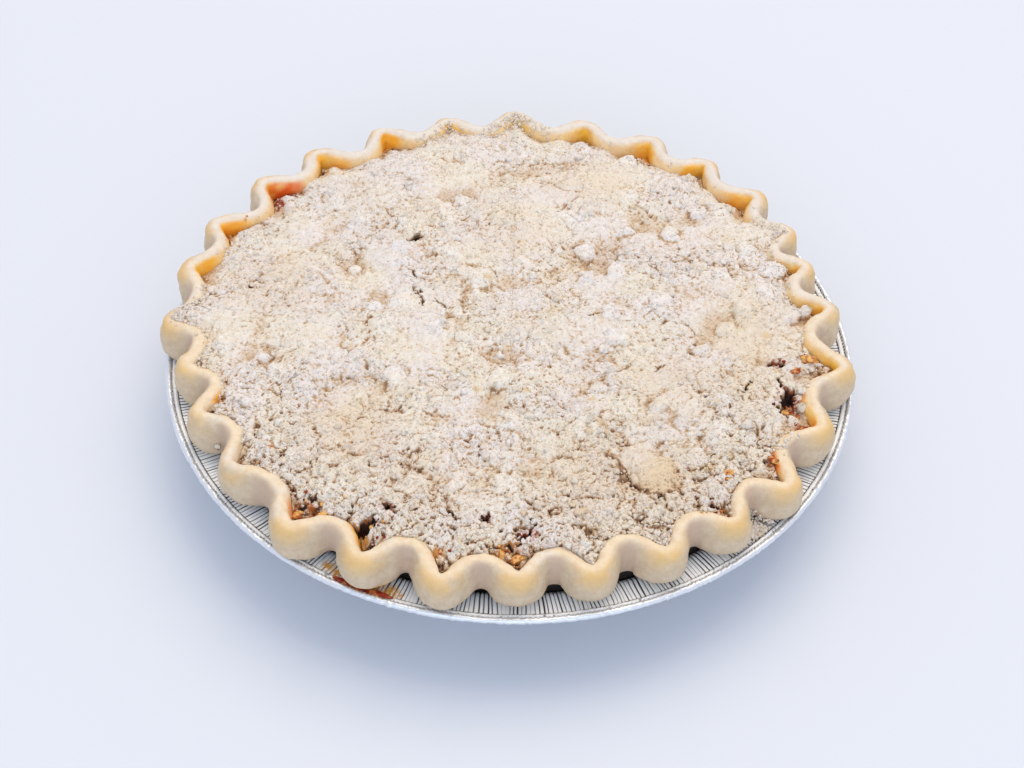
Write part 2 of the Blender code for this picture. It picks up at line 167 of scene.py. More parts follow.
# Packed bumps of the crumble: spacing, height, the least share of it, and how much it grows with coarseness
BUMPS = (
    (17, 1.9, 0.9, 0.1), (8.2, 2.4, 0.15, 1), (4.6, 2, 0.2, 1), (2.4, 0.9, 0.45, 0.7), (1.5, 0.5, 0.7, 0.4),
    (0.9, 0.3, 1, 0.1),
)
BUMPS_SCALE = 0.75
BUMPS_MIDDLE = 3.4
PIT_DEPTH = 1.3
# Hollows of the crumble, where shade is painted: grid cells around a point, the depth below their mean that makes it
# one, the share taken off, how much painted shade it gets, and how much more where the crumble is coarse
HOLLOWS = ((2, 0.3, 0.15, 0.8, 0), (8, 1.1, 0.1, 0.2, 0.6))
# Holes, slits and dents: x, y, half length, half width, turn in degrees and depth
DENTS = (
    (95.3, -31.9, 2.6, 1.7, 110, 7.5), (93.4, -35.2, 2.6, 1.9, 60, 7), (92.4, -26.8, 3, 0.8, 80, 4.5),
    (91.5, -16.8, 3.4, 0.9, 5, 5), (81.1, -30.6, 2.4, 0.6, 60, 3), (-36.3, 40.1, 2.8, 1.1, 40, 8),
    (-34.8, 20, 4.2, 0.5, -52, 3), (-32.9, 8.5, 4.6, 0.5, -72, 3), (-25.5, 5.5, 3, 0.6, -50, 3.5),
    (-16.8, -91.8, 3, 0.6, -52, 3.5), (-6.5, -93.4, 2.4, 0.9, 70, 4), (7, -98, 5.6, 0.7, 62, 4.5),
    (-44, -96.3, 3.4, 1.4, 35, 7.5), (-38.3, -90.1, 2, 0.9, 0, 4), (-0.5, -104, 4, 1.6, -15, 2.5),
    (-64.4, -87.5, 4, 1.6, 30, 2.5), (51.4, -22.3, 2.4, 0.7, 30, 2.5), (67.5, -83.5, 2.6, 1, -25, 2.5),
    (29.5, 2.2, 2.2, 0.6, 30, 2), (94, -38.6, 3.4, 2.6, 20, 3.2),
)
OPEN_HOLE = 1.2

# Lumps of crumble: x, y and radius of those that stand out, then the spread of the others
LARGE_LUMPS = (
    (45.3, -70.5, 10), (62.5, -64.1, 4.6), (20, -71.7, 5), (30, -88.1, 5), (66.6, -77.5, 5.6),
    (-58.6, -54.9, 5), (0, -78, 4.8), (-30, -80, 5), (52, 10, 5.2), (-20, 62, 4.8),
)
LUMP_COUNT = 66
LUMP_LARGEST = 5.0
LUMP_SMALLEST = 3.0
LUMP_SPACING = 1.15
LUMP_TRIES = 60
LUMP_RIM_ROOM = 1.2
LUMP_FLATNESS = 0.7
LUMP_SUNK = 0.22
LUMP_POWER = 2.4
# The largest lump: x, y, half length, half width and turn in degrees, then how high it stands
BIG_LUMP = (46.0, -69.5, 12.5, 8.0, -42.0)
BIG_LUMP_RISE = 3.8
BIG_LUMP_ROOT = 1.4
# Where the crumble is baked tan: x, y, radius and strength
TAN_SPOTS = (
    (-8.9, 19.6, 2.6, 0.9), (30, 2.7, 2.4, 1), (-1, -15.3, 2.4, 0.8), (5.6, -37.7, 2.6, 0.9),
    (-11, -36.1, 2.6, 0.8), (6.1, -22.9, 2.4, 0.7), (30.5, -51.5, 2.8, 1), (37, -21.5, 2.4, 0.6),
    (27.6, -39.6, 2.4, 0.8), (51.4, -22.3, 2.8, 1), (81.1, -30.6, 2.6, 0.9), (89.4, -3.7, 3.2, 1),
    (66, -68.5, 4, 0.9), (55, -58, 2.6, 0.6), (91, -21, 3, 0.9),
)
TAN_SPOT_SQUASH = 1.5
# Broad areas that are baked a little darker, and areas where less shade is painted in the hollows: x, y, radius and
# strength
WARM_AREAS = (
    (-52.3, -57.9, 17, 0.45), (27.1, -76.7, 18, 0.42), (53.2, -75.6, 18, 0.34), (83.6, -3.9, 18, 0.36),
    (-86.5, 13.9, 16, 0.28), (-24.8, -78.9, 16, 0.26), (54.7, -29.8, 16, 0.26), (82.1, -28.6, 14, 0.2),
    (27.9, 75.1, 16, 0.25), (-1.6, 45, 14, 0.22),
)
LESS_SHADED_AREAS = (
    (-54.2, -34.7, 15, 0.8), (-50.6, -80, 13, 0.7), (27.2, -54.4, 14, 0.6), (53.9, -53.2, 14, 0.6),
    (5, -54, 14, 0.4),
)

# Loose crumbs: name, count, smallest and largest, columns and rings of the ball, raggedness, how far the middle
# stands out of the surface at most, and how much the kind keeps to coarse places
CRUMB_KINDS = (
    ("crumble_clusters", 620, 1.8, 4.2, 12, 8, 0.30, -0.12, 1),
    ("crumble_crumbs", 1900, 1.2, 2.1, 8, 5, 0.32, -0.08, 1),
    ("crumble_bits", 9600, 0.7, 1.25, 5, 2, 0.28, 0.02, 0.75),
    ("crumble_grains", 19500, 0.4, 0.8, 5, 1, 0.22, 0.16, 0.3),
)
CRUMBS_REACH = 118
CRUMB_TRIES = 6
# How much squashed crumbs are along each of their axes, from the most to the least
CRUMB_SQUASH = (0.62, 1.12)
TAN_CRUMBS = 0.06
# Crumbs that lie on the rim: place, its half width in pinches, how far in and out, and how many
RIM_SPILLS = (
    (-0.05, 0.5, -3.6, 0.8, 100), (21, 0.5, -3.8, 0.2, 300), (22.2, 0.4, -3.8, -0.6, 60),
    (16.1, 0.6, -3.4, 0.6, 120), (11.5, 0.2, -4, 1.5, 90),
)
# Crumbs large enough to stand alone at the edge: x, y, how far they stand out, and their size
EDGE_LUMPS = ((103.6, 10.2, 0.6, 5.4), (99.5, -36.5, 0.8, 4.6), (99.8, -30, 0.7, 3.6), (-97.1, -57.4, 0.4, 2))
# Fine crumbs along the whole rim's inner side: how many a pinch, and how far in and out
RIM_FILLING = (60, -4.2, -2.2)
# Crumbs that fell onto the tin: first and last angle, first and last radius, height where it begins, and how many
TIN_SPILL = (310, 320.5, 106.5, 117.6, 10.5, 1300)
SPILLED_SMALLEST = 0.6
SPILLED_RATIO = 3.0
# The map of heights that loose things rest on: how far it reaches from the axis and how wide its squares are
MAP_REACH = 125.0
MAP_STEP = 0.5

# Where syrup shows: x, y, radius and how red it is
SYRUP_SPOTS = (
    (1.8, -105.1, 8, 0.45), (-47.2, -99.3, 7.5, 0.2), (-64.4, -88.7, 8, 0.7), (-20.2, -106.4, 4, 0.3),
    (-78.2, -64.8, 3, 0.4), (-97.8, -41.8, 4, 0.3), (88.4, -62.1, 6, 0.9), (103.1, -15.5, 6, 0.6),
    (100, -45.2, 5, 0.8), (72.4, -70.8, 2.5, 0.6), (-86.6, 67.7, 10, 1), (-69, 81.5, 8, 0.2),
    (-103.9, 48.5, 8, 0.3), (-110.4, 27.2, 5, 0.2), (49.3, 97.8, 5, 0.15), (81.4, 70.1, 6, 0.2),
    (66.3, 87.7, 5, 0.15), (-49.4, 102, 6, 0.2), (69.4, -83.9, 3.5, 0.6), (94.4, -33.7, 8.5, 0.95),
    (7, -98, 6, 0.95), (-6.5, -93.4, 4.6, 0.95), (-38.3, -90.1, 4.2, 0.8), (-44, -96.3, 5.5, 0.9),
    (92, -16.8, 4, 0.9), (67.5, -83.5, 3, 0.8), (51.4, -22.3, 2, 0.6),
)
# Where the filling is dark red with syrup, near black at the darkest as painted shade in the holes: x, y, radius and
# darkness
DARK_SPOTS = (
    (94.4, -33.7, 9, 1), (93.7, -16.4, 6, 1), (-36.3, 40.1, 6, 1), (-6.8, -93, 5, 1),
    (6.5, -98, 4, 1), (-42, -94.5, 5.5, 1), (-37.7, -90.1, 4, 1), (-16.1, -92.6, 4, 1),
    (-29.3, 11.4, 6, 1), (-22, 8, 6, 1), (66.6, -84, 4, 0.6), (50.6, -19.3, 4, 0.8),
)
# Amber stains of the leak on the tin and on the crust's lower edge: x, y, radius and strength
TIN_STAINS = (
    (-56.5, -100.3, 3.2, 1), (-53, -103, 3.2, 1), (-49.5, -105.6, 3.4, 1), (-36, -109.8, 3.6, 1),
    (-33.4, -111.2, 2.6, 0.8), (-41, -109.5, 4, 1),
)
LEAK_ON_CRUST = ((-50, -104.5, 6, 1), (-44, -108.5, 6, 1), (-38.5, -108.8, 5.5, 1))
# The leak itself: angles at its ends, radius, height above, half width, half thickness, how dark, rings and columns
LEAK = (242.6, 253, 118.9, 0.6, 1.4, 0.5, 0.6, 70, 14)
# Bits of apple: x, y, how far they spread, how many, and how dark
APPLE_SPOTS = (
    (94.4, -34.5, 5, 10, 0.7), (102.5, -16.5, 3, 5, 0.3), (93.7, -16.4, 2.5, 3, 0.8), (-43, -96, 3, 5, 0.8),
    (-40, -99, 3.5, 6, 0.6), (-37.7, -90.1, 2.5, 5, 0.7), (-6.8, -92.5, 2.5, 5, 0.9), (6.2, -98, 2.6, 5, 0.9),
    (0.5, -104.5, 4, 7, 0.2), (-64.4, -88.2, 5, 11, 0.6), (-70, -82, 3, 4, 0.5), (-20.2, -106, 2.5, 3, 0.4),
    (88.4, -62.5, 3.5, 7, 0.4), (99, -45.2, 3.5, 5, 0.4), (72.4, -70.8, 2.5, 5, 0.6), (69.4, -83.9, 2.5, 4, 0.6),
    (81.4, 69.5, 2.5, 4, 0.4), (-100.5, 47, 3, 4, 0.5), (-84.5, 66.5, 2.5, 3, 0.4), (64, -88.5, 2, 3, 0.5),
)
# Larger bits of apple: x, y, length, width, turn in degrees, and how dark
APPLE_PIECES = (
    (-1, -103.6, 11.5, 6, -12, 0), (4.2, -106.4, 5, 3, 30, 0.3), (-66.6, -89.4, 4.6, 3, 40, 0.25),
    (-65.4, -93.2, 3.2, 2.2, 0, 0.5), (-58.4, -91, 4, 2.4, 20, 0.2), (-47.4, -101.3, 4.6, 2.6, -60, 0.3),
    (79.5, 70.5, 6, 3.2, -35, 0.2), (99.3, -44.8, 5.6, 3.4, 60, 0.45), (72.4, -70.8, 3, 2.2, 20, 0.3),
    (88.6, -62.4, 5.4, 2.6, -30, 0.35), (103.2, -15.2, 6, 3.4, -15, 0.25), (98.8, -19.3, 4, 2.6, 30, 0.4),
    (93.2, -38.6, 4, 3, 20, 0.35), (-20.4, -106, 3.2, 2, 50, 0.3), (95.9, -37.6, 2.8, 2.2, 70, 0.5),
    (91.6, -35.8, 2.6, 1.8, 0, 0.7), (97.6, -39.6, 2.6, 2, 30, 0.4),
)
APPLE_FLATNESS = 0.3
APPLE_SUNK = 0.35

# Camera: the picture's view of the rim's plane
IMAGE_WIDTH = 1024
SENSOR = 36.0
FOCAL_PIXELS = 2015.743
CAMERA_RISE = 44.492
CAMERA_ROLL = 1.8873
CAMERA_DISTANCE = 720.0
AIM = (0.8166, -15.967)

# Setting, in metres: half the floor, what the lamps look at, and each lamp's name, colour, energy, size and place
FLOOR_HALF = 3.0
LAMPS_AIM = (0, 0, 0.03)
LAMPS = (
    ("window", (1, 0.84, 0.62), 28.2, (2.2, 1.9), (0.3, 0.8, 2.2)),
    ("reflector", (0.62, 0.78, 1), 15, (2.4, 0.9), (0, -2.2, 1.1)),
)
SKY = (0.72, 0.78, 0.88, 1.0)


# Noise and curves


def cell_number(cells, seed):
    """A number from 0 to 1 for each whole-numbered cell: coordinates times primes, with their bits folded in."""
    cells = np.broadcast_arrays(*cells)
    mixed = np.full(cells[0].shape, (seed * 374761393 + 668265263) % 2**32, np.uint32)
    for axis, prime in zip(cells, (73856093, 19349663, 83492791)):
        mixed ^= axis.astype(np.uint32) * np.uint32(prime)
        mixed ^= mixed >> np.uint32(15)
        mixed *= np.uint32(2246822519)
        mixed ^= mixed >> np.uint32(13)
    return mixed / 2.0**32


def one_noise(axes, length, seed):
    """Noise from about -1 to 1: slopes drawn at a lattice's corners, blended between them by 3t^2 - 2t^3."""
    scaled = [axis / length for axis in np.broadcast_arrays(*axes)]
    cells = [np.floor(axis).astype(np.int64) for axis in scaled]
    shares = [axis - cell for axis, cell in zip(scaled, cells)]
    blends = [share * share * (3 - 2 * share) for share in shares]
    total = np.zeros_like(scaled[0])
    for corner in itertools.product((0, 1), repeat=len(axes)):
        here = [cell + bit for cell, bit in zip(cells, corner)]
        weight = np.ones_like(total)
        rise = np.zeros_like(total)
        for axis, bit in enumerate(corner):
            weight *= blends[axis] if bit else 1 - blends[axis]
            rise += (2 * cell_number(here, seed + axis) - 1) * (shares[axis] - bit)
        total += weight * rise
    return 1.8 * total


def noise(axes, *layers):
    """Layers of noise added up, each with its amount, its length and its seed."""
    return sum(amount * one_noise(axes, length, seed) for amount, length, seed in layers)


def ragged(x, y, *layers):
    """Points in the plane moved by noise; each layer has its amount, its length and a seed for each axis."""
    return (
        axis + noise((x, y), *((amount, length, seeds[number]) for amount, length, seeds in layers))
        for number, axis in enumerate((x, y))
    )


def pebbles(x, y, spacing, seed):
    """Packed bumps from 0 to 1: half balls, one to each cell of a lattice, on a plane that noise has warped."""
    x, y = ragged(x, y, (0.55 * spacing, 0.6 * spacing, (seed + 5, seed + 9)))
    column, row = (np.floor(axis / spacing).astype(np.int64) for axis in (x, y))
    highest = np.zeros_like(x)
    for cells in ((column + right, row + up) for right in (-1, 0, 1) for up in (-1, 0, 1)):
        middle_x, middle_y = (
            (cell + 0.1 + 0.8 * cell_number(cells, seed + axis)) * spacing for axis, cell in enumerate(cells)
        )
        size = 0.5 + 0.4 * cell_number(cells, seed + 2)
        away = ((x - middle_x) ** 2 + (y - middle_y) ** 2) / (size * spacing) ** 2
        highest = np.maximum(highest, size / 0.9 * np.sqrt(np.maximum(1 - away, 0)))
    return highest


def eased(value, start, end):
    """0 at the start and before, 1 at the end and beyond, an eased slope between. The start may be the larger."""
    share = np.clip((value - start) / (end - start), 0, 1)
    return share * share * (3 - 2 * share)


def band(value, start, full, last, end):
    """0 outside the start and the end, 1 from full to last, and eased slopes between."""
    return eased(value, start, full) * eased(value, end, last)


def bell(value, middle, width):
    """The curve exp(-d^2), d the distance from the middle in widths."""
    return np.exp(-(((value - middle) / width) ** 2))


def turned(radius, angle, height):
    """Points at a radius, an angle and a height: radius times the cosine and sine of the angle."""
    return np.stack(np.broadcast_arrays(radius * np.cos(angle), radius * np.sin(angle), height), axis=-1)


def plane_normal(along):
    """The unit normal to the right of each direction in a plane."""
    normal = np.stack([along[..., 1], -along[..., 0]], axis=-1)
    return normal / np.linalg.norm(normal, axis=-1)[..., None]


def in_frame(x, y, middle_x, middle_y, degrees):
    """How far along and across each point lies in a frame that is moved to the middle and turned."""
    cos, sin = math.cos(math.radians(degrees)), math.sin(math.radians(degrees))
    return (x - middle_x) * cos + (y - middle_y) * sin, (y - middle_y) * cos - (x - middle_x) * sin


# Meshes


def add_piece(name, points, faces, material, marks):
    """A piece from arrays: points in millimetres, a list of face arrays, and a number for each point by name."""
    corners = np.concatenate([part.ravel() for part in faces])
    sides = np.concatenate([np.full(len(part), part.shape[1]) for part in faces])
    mesh = bpy.data.meshes.new(name)
    mesh.vertices.add(len(points))
    mesh.vertices.foreach_set("co", (points * MM).astype(np.float32).ravel())
    mesh.loops.add(len(corners))
    mesh.loops.foreach_set("vertex_index", corners.astype(np.int32))
    mesh.polygons.add(len(sides))
    mesh.polygons.foreach_set("loop_start", (np.cumsum(sides) - sides).astype(np.int32))
    for mark, values in marks.items():
        mesh.attributes.new(mark, "FLOAT", "POINT").data.foreach_set("value", values.astype(np.float32).ravel())
    mesh.update(calc_edges=True)
    mesh.validate()
    mesh.materials.append(material)
    mesh.shade_smooth()
    piece = bpy.data.objects.new(name, mesh)
    bpy.context.scene.collection.objects.link(piece)
    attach(piece, "root")
    return piece


def end_fans(rows, columns):
    """Triangles that close the first and the last ring, each to a point of its own after the rings' points."""
    here = np.arange(columns)
    following = np.roll(here, -1)
    last_row = (rows - 1) * columns
    first = np.stack([np.full(columns, rows * columns), following, here], axis=1)
    last = np.stack([np.full(columns, rows * columns + 1), last_row + here, last_row + following], axis=1)
    return [first, last]


def closed_rings(rings, first, last):
    """Points and faces of a solid of rings, shape (rows, columns, 3), closed to the first and the last point."""
    rows, columns = rings.shape[:2]
    here = np.arange(columns)
    following = np.roll(here, -1)
    low = (np.arange(rows - 1) * columns)[:, None]
    quads = np.stack([low + here, low + following, low + columns + following, low + columns + here], axis=-1)
    return np.concatenate([rings.reshape(-1, 3), [first, last]]), [quads.reshape(-1, 4), *end_fans(rows, columns)]


def with_ends(values, first=0.0, last=0.0):
    """A mark's numbers for the points of closed rings: those of the rings, then those of the two end points."""
    return np.append(values.ravel(), [first, last])


# Foil tin


def tin_line():
    """The tin's inner line from the edge of its floor to the groove beside the bead, as radii and heights."""
    wall = np.linspace(WALL_FOOT, WALL_TOP, WALL_STEPS)
    near_rim = np.array(FLANGE) + (0, RIM_HEIGHT)
    flange = np.linspace(near_rim[0], near_rim[1], FLANGE_STEPS)
    return np.concatenate([[(FLOOR_RADIUS, FOIL)], wall, flange, near_rim[2:]])


def foil_tin(foil):
    """The dish of the tin turned about its axis: columns follow the pleats and are pushed in or out in turn."""
    inside = tin_line()
    ahead = np.gradient(inside, axis=0)
    ahead[0] = (1, 0)
    normal = -plane_normal(ahead)
    turn = np.radians(np.linspace(-BEAD_TURN, BEAD_TURN, BEAD_STEPS))
    bead_normal = np.stack([np.cos(turn), np.sin(turn)], axis=1)
    bead = bead_normal * BEAD_RADIUS + (RIM_RADIUS - BEAD_RADIUS, RIM_HEIGHT)
    line = np.concatenate([inside - FOIL * normal, bead, inside[::-1]])
    normals = np.concatenate([normal, bead_normal, normal[::-1]])
    radius = line[:, :1]
    column = np.arange(PLEATS * len(PLEAT_FOLD))[None]
    number = column // len(PLEAT_FOLD)
    fold = np.array(PLEAT_FOLD)[column % len(PLEAT_FOLD)]
    in_fold = fold < 0
    even = column * ROUND / column.size
    around = even * RIM_RADIUS
    askew = noise((even * 20, radius / 14), (1, 1, 3)) + noise((even * 90,), (0.4, 1, 4))
    angle = even + 0.5 * ROUND / PLEATS * askew * eased(radius, *LEANING)
    strength = np.clip(0.5 + 0.5 * cell_number((number, number * 0), 5) + noise((number,), (0.35, 5, 6)), 0, 1)
    pleated = strength * band(radius, *PLEATED)
    crease = noise((around, radius * 0.8), (1, 1.6, 11)) + noise((around, radius), (0.8, 0.8, 12))
    rolled = eased(radius, *ROLLED)
    push = PLEAT_DEPTH * pleated * fold + rolled * (0.22 * crease + noise((around,), (0.25, 17, 13)))
    push += bell(radius, GROOVE, GROOVE_WIDTH) * np.where(in_fold, 0.25, -0.1)
    shifted = line[:, None] + normals[:, None] * push[..., None]
    rings = turned(shifted[..., 0], angle, np.maximum(shifted[..., 1], 0))
    points, faces = closed_rings(rings, (0, 0, 0), (0, 0, FOIL))
    ring_width, groove_width = SHADE_LINE_WIDTHS
    # Painted shade: dark lines in the folds of the pleats, at the ring's foot and in the groove, and dark patches in
    # the rolled rim's creases
    dark = np.maximum(pleated * in_fold, bell(radius, RING_FOOT, ring_width) * (0.75 + 0.25 * crease))
    dark = np.maximum(dark, bell(radius, GROOVE, groove_width) * np.where(in_fold, 1.0, 0.35))
    dark = np.maximum(dark, 0.55 * eased(crease, 0.1, 0.9) * rolled * (1 - 0.6 * eased(radius, *CREASE_SHADE_FADE)))
    stained = spots_near(points, TIN_STAINS)[0] * eased(points[:, 2], RIM_HEIGHT - 2, RIM_HEIGHT - 1.4)
    # The fold mark carries that painted shade; the flange mark says where the foil is painted white and nearly matt, a
    # painted reflection
    marks = {"fold": with_ends(dark), "flange": with_ends(band(radius, *BRIGHT) + 0 * column), "stain": stained}
    tin = add_piece("pleated_foil_tin", points, faces, foil, marks)
    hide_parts("foil_tin")
    return points


# Crust


def wave(place):
    """Angle, reach and lobe share at each place: the reach swings as cos t - b sin^2 t from lobe to notch."""
    width, lobe, notch = np.array(PINCHES).T
    width = np.radians(width * 360 / width.sum())
    start = math.radians(FIRST_LOBE) + np.concatenate([[0], np.cumsum(width)[:-1]])
    pinch = np.floor(place).astype(int) % len(PINCHES)
    along = place - np.floor(place)
    angle = start[pinch] + along * width[pinch]
    outer = np.where(along < 0.5, lobe[pinch], np.roll(lobe, -1)[pinch])
    swing = np.cos(ROUND * along) - NOTCH_BREADTH * np.sin(ROUND * along) ** 2
    return angle, (outer + notch[pinch]) / 2 + (outer - notch[pinch]) / 2 * swing, (1 + swing) / 2


def line_and_normal(place, held_out):
    """The wave's middle line in the plane and its outward normal, the line held out over the tin's wall."""
    lines = []
    for step in (0.0, -NEARBY, NEARBY):
        angle, reach, _ = wave(place + step)
        reach = reach + held_out * np.maximum(CRUST_FOOT_RADIUS - reach, 0)
        lines.append(turned(reach, angle, 0.0)[..., :2])
    return lines[0], plane_normal(lines[2] - lines[1])


def beside_line(place, out):
    """Points in the plane at a distance out from the wave's middle line."""
    line, normal = line_and_normal(place % len(PINCHES), 0.0)
    return line + normal * out[..., None]


def thinned(out, lobe_share):
    """A distance from the middle line, made shorter on the hollow side of each bend."""
    return out * (1 - BEND_THINNING * np.where(out > 0, 1 - lobe_share, lobe_share))


def spread(place, share):
    """How much further out the foot of the rim stands, on the sides of each lobe and at the pie's left and right."""
    angle, _, lobe = wave(place)
    most = FLANK_SPREAD * 4 * lobe * (1 - lobe) + SIDE_SPREAD * np.cos(angle) ** 2 * lobe
    return most * np.clip(1 - share / SPREAD_END, 0, 1)


def inner_face(place, drawn_in):
    """The rim's inner face in the plane, drawn in towards the axis."""
    face = beside_line(place, thinned(np.array(RIM_SECTION[-1][0]), wave(place)[2]))
    return face * (1 - drawn_in / np.linalg.norm(face, axis=-1))[..., None]


def smooth_section():
    """RIM_SECTION with a curve through its rows: each stretch is a cubic that keeps the neighbours' slopes."""
    rows = np.array(RIM_SECTION)
    before = np.concatenate([2 * rows[:1] - rows[1:2], rows[:-1]])
    after = np.concatenate([rows[1:], 2 * rows[-1:] - rows[-2:-1]])
    slope = (after - before) / 2
    t = (np.arange(SECTION_STEPS) / SECTION_STEPS)[:, None]
    stretches = [
        (2 * t**3 - 3 * t**2 + 1) * rows[k]
        + (t**3 - 2 * t**2 + t) * slope[k]
        + (3 * t**2 - 2 * t**3) * rows[k + 1]
        + (t**3 - t**2) * slope[k + 1]
        for k in range(len(rows) - 1)
    ]
    return np.concatenate([*stretches, rows[-1:]])


def rim_rings(place):
    """The fluted rim's points: its section carried along the wave, its foot spread, its sides dented by noise."""
    lobe_share = wave(place)[2]
    out, share, held_out = smooth_section().T[..., None]
    line, normal = line_and_normal(place + 0 * out, held_out)
    out = thinned(out, lobe_share) + spread(place, share) * (out > 0)
    crest = CREST_HEIGHT + NOTCH_LIFT * (1 - lobe_share) + noise((place,), CREST_UNEVEN)
    rim = np.dstack([line + normal * out[..., None], RIM_HEIGHT + share * crest])
    dent = noise(np.moveaxis(rim, -1, 0), *CRUST_DENTS)
    rim[..., :2] += normal * (dent * out / (1 + np.abs(out)))[..., None]
    rim[..., 2] += 0.7 * dent * share
    rim[..., 2] += NOTCH_ARCH * (1 - lobe_share) ** 2 * eased(share, 0.45, 0.1) * (out > 0)
    return rim


def pastry_crust(pastry):
    """The dish of pastry under a fluted rim, with what its finish reads: where it is browned, yellow and stained."""
    place = np.arange(len(PINCHES) * CRUST_COLUMNS_A_PINCH)[None] / CRUST_COLUMNS_A_PINCH
    angle, _, lobe_share = wave(place)
    rim = rim_rings(place)
    wall_radius = np.interp(LIP, *np.transpose([WALL_FOOT, WALL_TOP])[::-1])
    floor = FOIL + GAP
    rings = np.concatenate([
        turned(FLOOR_RADIUS, angle, floor),
        turned(wall_radius - 1.5 * GAP, angle, LIP),
        turned(wall_radius - GAP, angle, RIM_HEIGHT - GAP),
        rim,
        turned(CRUST_INNER_RADIUS, angle, RIM_HEIGHT),
        turned(FLOOR_RADIUS - CRUST_THICKNESS, angle, floor + CRUST_THICKNESS),
    ])
    points, faces = closed_rings(rings, (0, 0, floor), (0, 0, floor + CRUST_THICKNESS))
    across = np.concatenate([[0, 0, 0], np.linspace(0, 1, len(rim)), [1, 1]])[:, None]
    across = with_ends(across + 0 * place, 0.0, 1.0)
    x, y, z = points.T
    syrup, red = syrup_on(points)
    leak = spots_near(points, LEAK_ON_CRUST)[0] * eased(z, RIM_HEIGHT + 4.5, RIM_HEIGHT + 1.5)
    marks = {
        "across": across,
        "lobe": with_ends(lobe_share + 0 * rings[..., 0], 0.5, 0.5),
        "syrup": np.maximum(syrup * eased(across, 0.72, 0.80), 0.8 * leak),
        "red": red,
        "browned": eased(-y, -80, 40),
        "yellow": 0.12 + 0.88 * np.maximum(eased(y, 2, 20), eased(x, 50, 85) * eased(y, -80, -55)),
    }
    crust = add_piece("fluted_crust", points, faces, pastry, marks)
    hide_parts("pastry_crust")
    return points


# Syrup and filling


def spots_near(points, spots):
    """How near each point is to the nearest spot, 1 at its middle and 0 from its radius out, and that spot's share."""
    nearest, share = np.zeros(len(points)), np.zeros(len(points))
    for x, y, radius, spot_share in spots:
        near = eased(np.hypot(points[:, 0] - x, points[:, 1] - y) / radius, 1.0, 0.3)
        share = np.where(near > nearest, spot_share, share)
        nearest = np.maximum(nearest, near)
    return nearest, share


def syrup_on(points):
    """How much syrup a point has taken up, in patches near the spots, and how red it is there."""
    near, red = spots_near(points, SYRUP_SPOTS)
    return np.clip(near * (1.0 + noise(points.T, (0.7, 3.5, 61))), 0, 1), red


def apple_filling(fruit):
    """The filling up to the crumble's underside: rings drawn in from the crust, the top lumpy with fruit."""
    place = np.arange(len(PINCHES) * FILLING_COLUMNS_A_PINCH)[None] / FILLING_COLUMNS_A_PINCH
    angle = wave(place)[0]
    floor = FOIL + 2 * GAP + CRUST_THICKNESS
    shares = 1 - np.linspace(0, 1, FILLING_RINGS)[:, None] ** 1.2 * 0.97
    x, y = np.moveaxis(inner_face(place, 0.2) * shares[..., None], -1, 0)
    lumps = 2.4 * pebbles(x, y, 9.0, 71) + 0.7 * pebbles(x, y, 3.5, 72) + noise((x, y), (0.8, 6.0, 73))
    rings = np.concatenate([
        turned(FLOOR_RADIUS - CRUST_THICKNESS - GAP, angle, floor),
        turned(CRUST_INNER_RADIUS - GAP, angle, RIM_HEIGHT),
        np.dstack([x, y, RIM_HEIGHT + FILLING_TOP - FILLING_SUNK + lumps]),
    ])
    points, faces = closed_rings(rings, (0, 0, floor), (0, 0, RIM_HEIGHT + FILLING_TOP))
    near, dark = spots_near(points, DARK_SPOTS)
    filling = add_piece("apple_and_syrup", points, faces, fruit, {"dark": near * dark})
    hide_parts("apple_filling")


def syrup_leak(fruit):
    """The syrup that ran over the rim: a flat tube along the tin's groove, thickest at its middle."""
    first, last, radius, height, half_width, half_thickness, dark, rings, columns = LEAK
    along = np.linspace(0, 1, rings)[:, None]
    turn = -np.arange(columns)[None] * ROUND / columns
    swell = np.sin(math.pi * np.clip(along, 0.001, 0.999)) ** 0.4 * (1 + noise((along * 40,), (0.25, 4, 151)))
    reach = radius + noise((along * 40,), (0.5, 9, 152)) + half_width * swell * np.cos(turn)
    rise = RIM_HEIGHT + height + half_thickness * swell * np.sin(turn)
    tube = turned(reach, np.radians(first + (last - first) * along), rise)
    points, faces = closed_rings(tube, tube[0].mean(axis=0), tube[-1].mean(axis=0))
    add_piece("leaked_syrup", points, faces, fruit, {"dark": np.full(len(points), dark)})


# Crumble


def nearness(place, middle, half_width):
    """1 at the middle place and 0 from its half width out, going round the whole rim, with its distance."""
    away = np.abs((place - middle + len(PINCHES) / 2) % len(PINCHES) - len(PINCHES) / 2) / half_width
    return np.cos(math.pi / 2 * np.minimum(away, 1)), away


def pocket_depth(place):
    """How deep the pockets are at the crumble's edge: each falls off from its middle as a cosine."""
    depth = np.zeros_like(place)
    for middle, half_width, deepest in POCKETS:
        depth = np.maximum(depth, deepest * nearness(place, middle, half_width)[0] ** 0.9)
    return depth


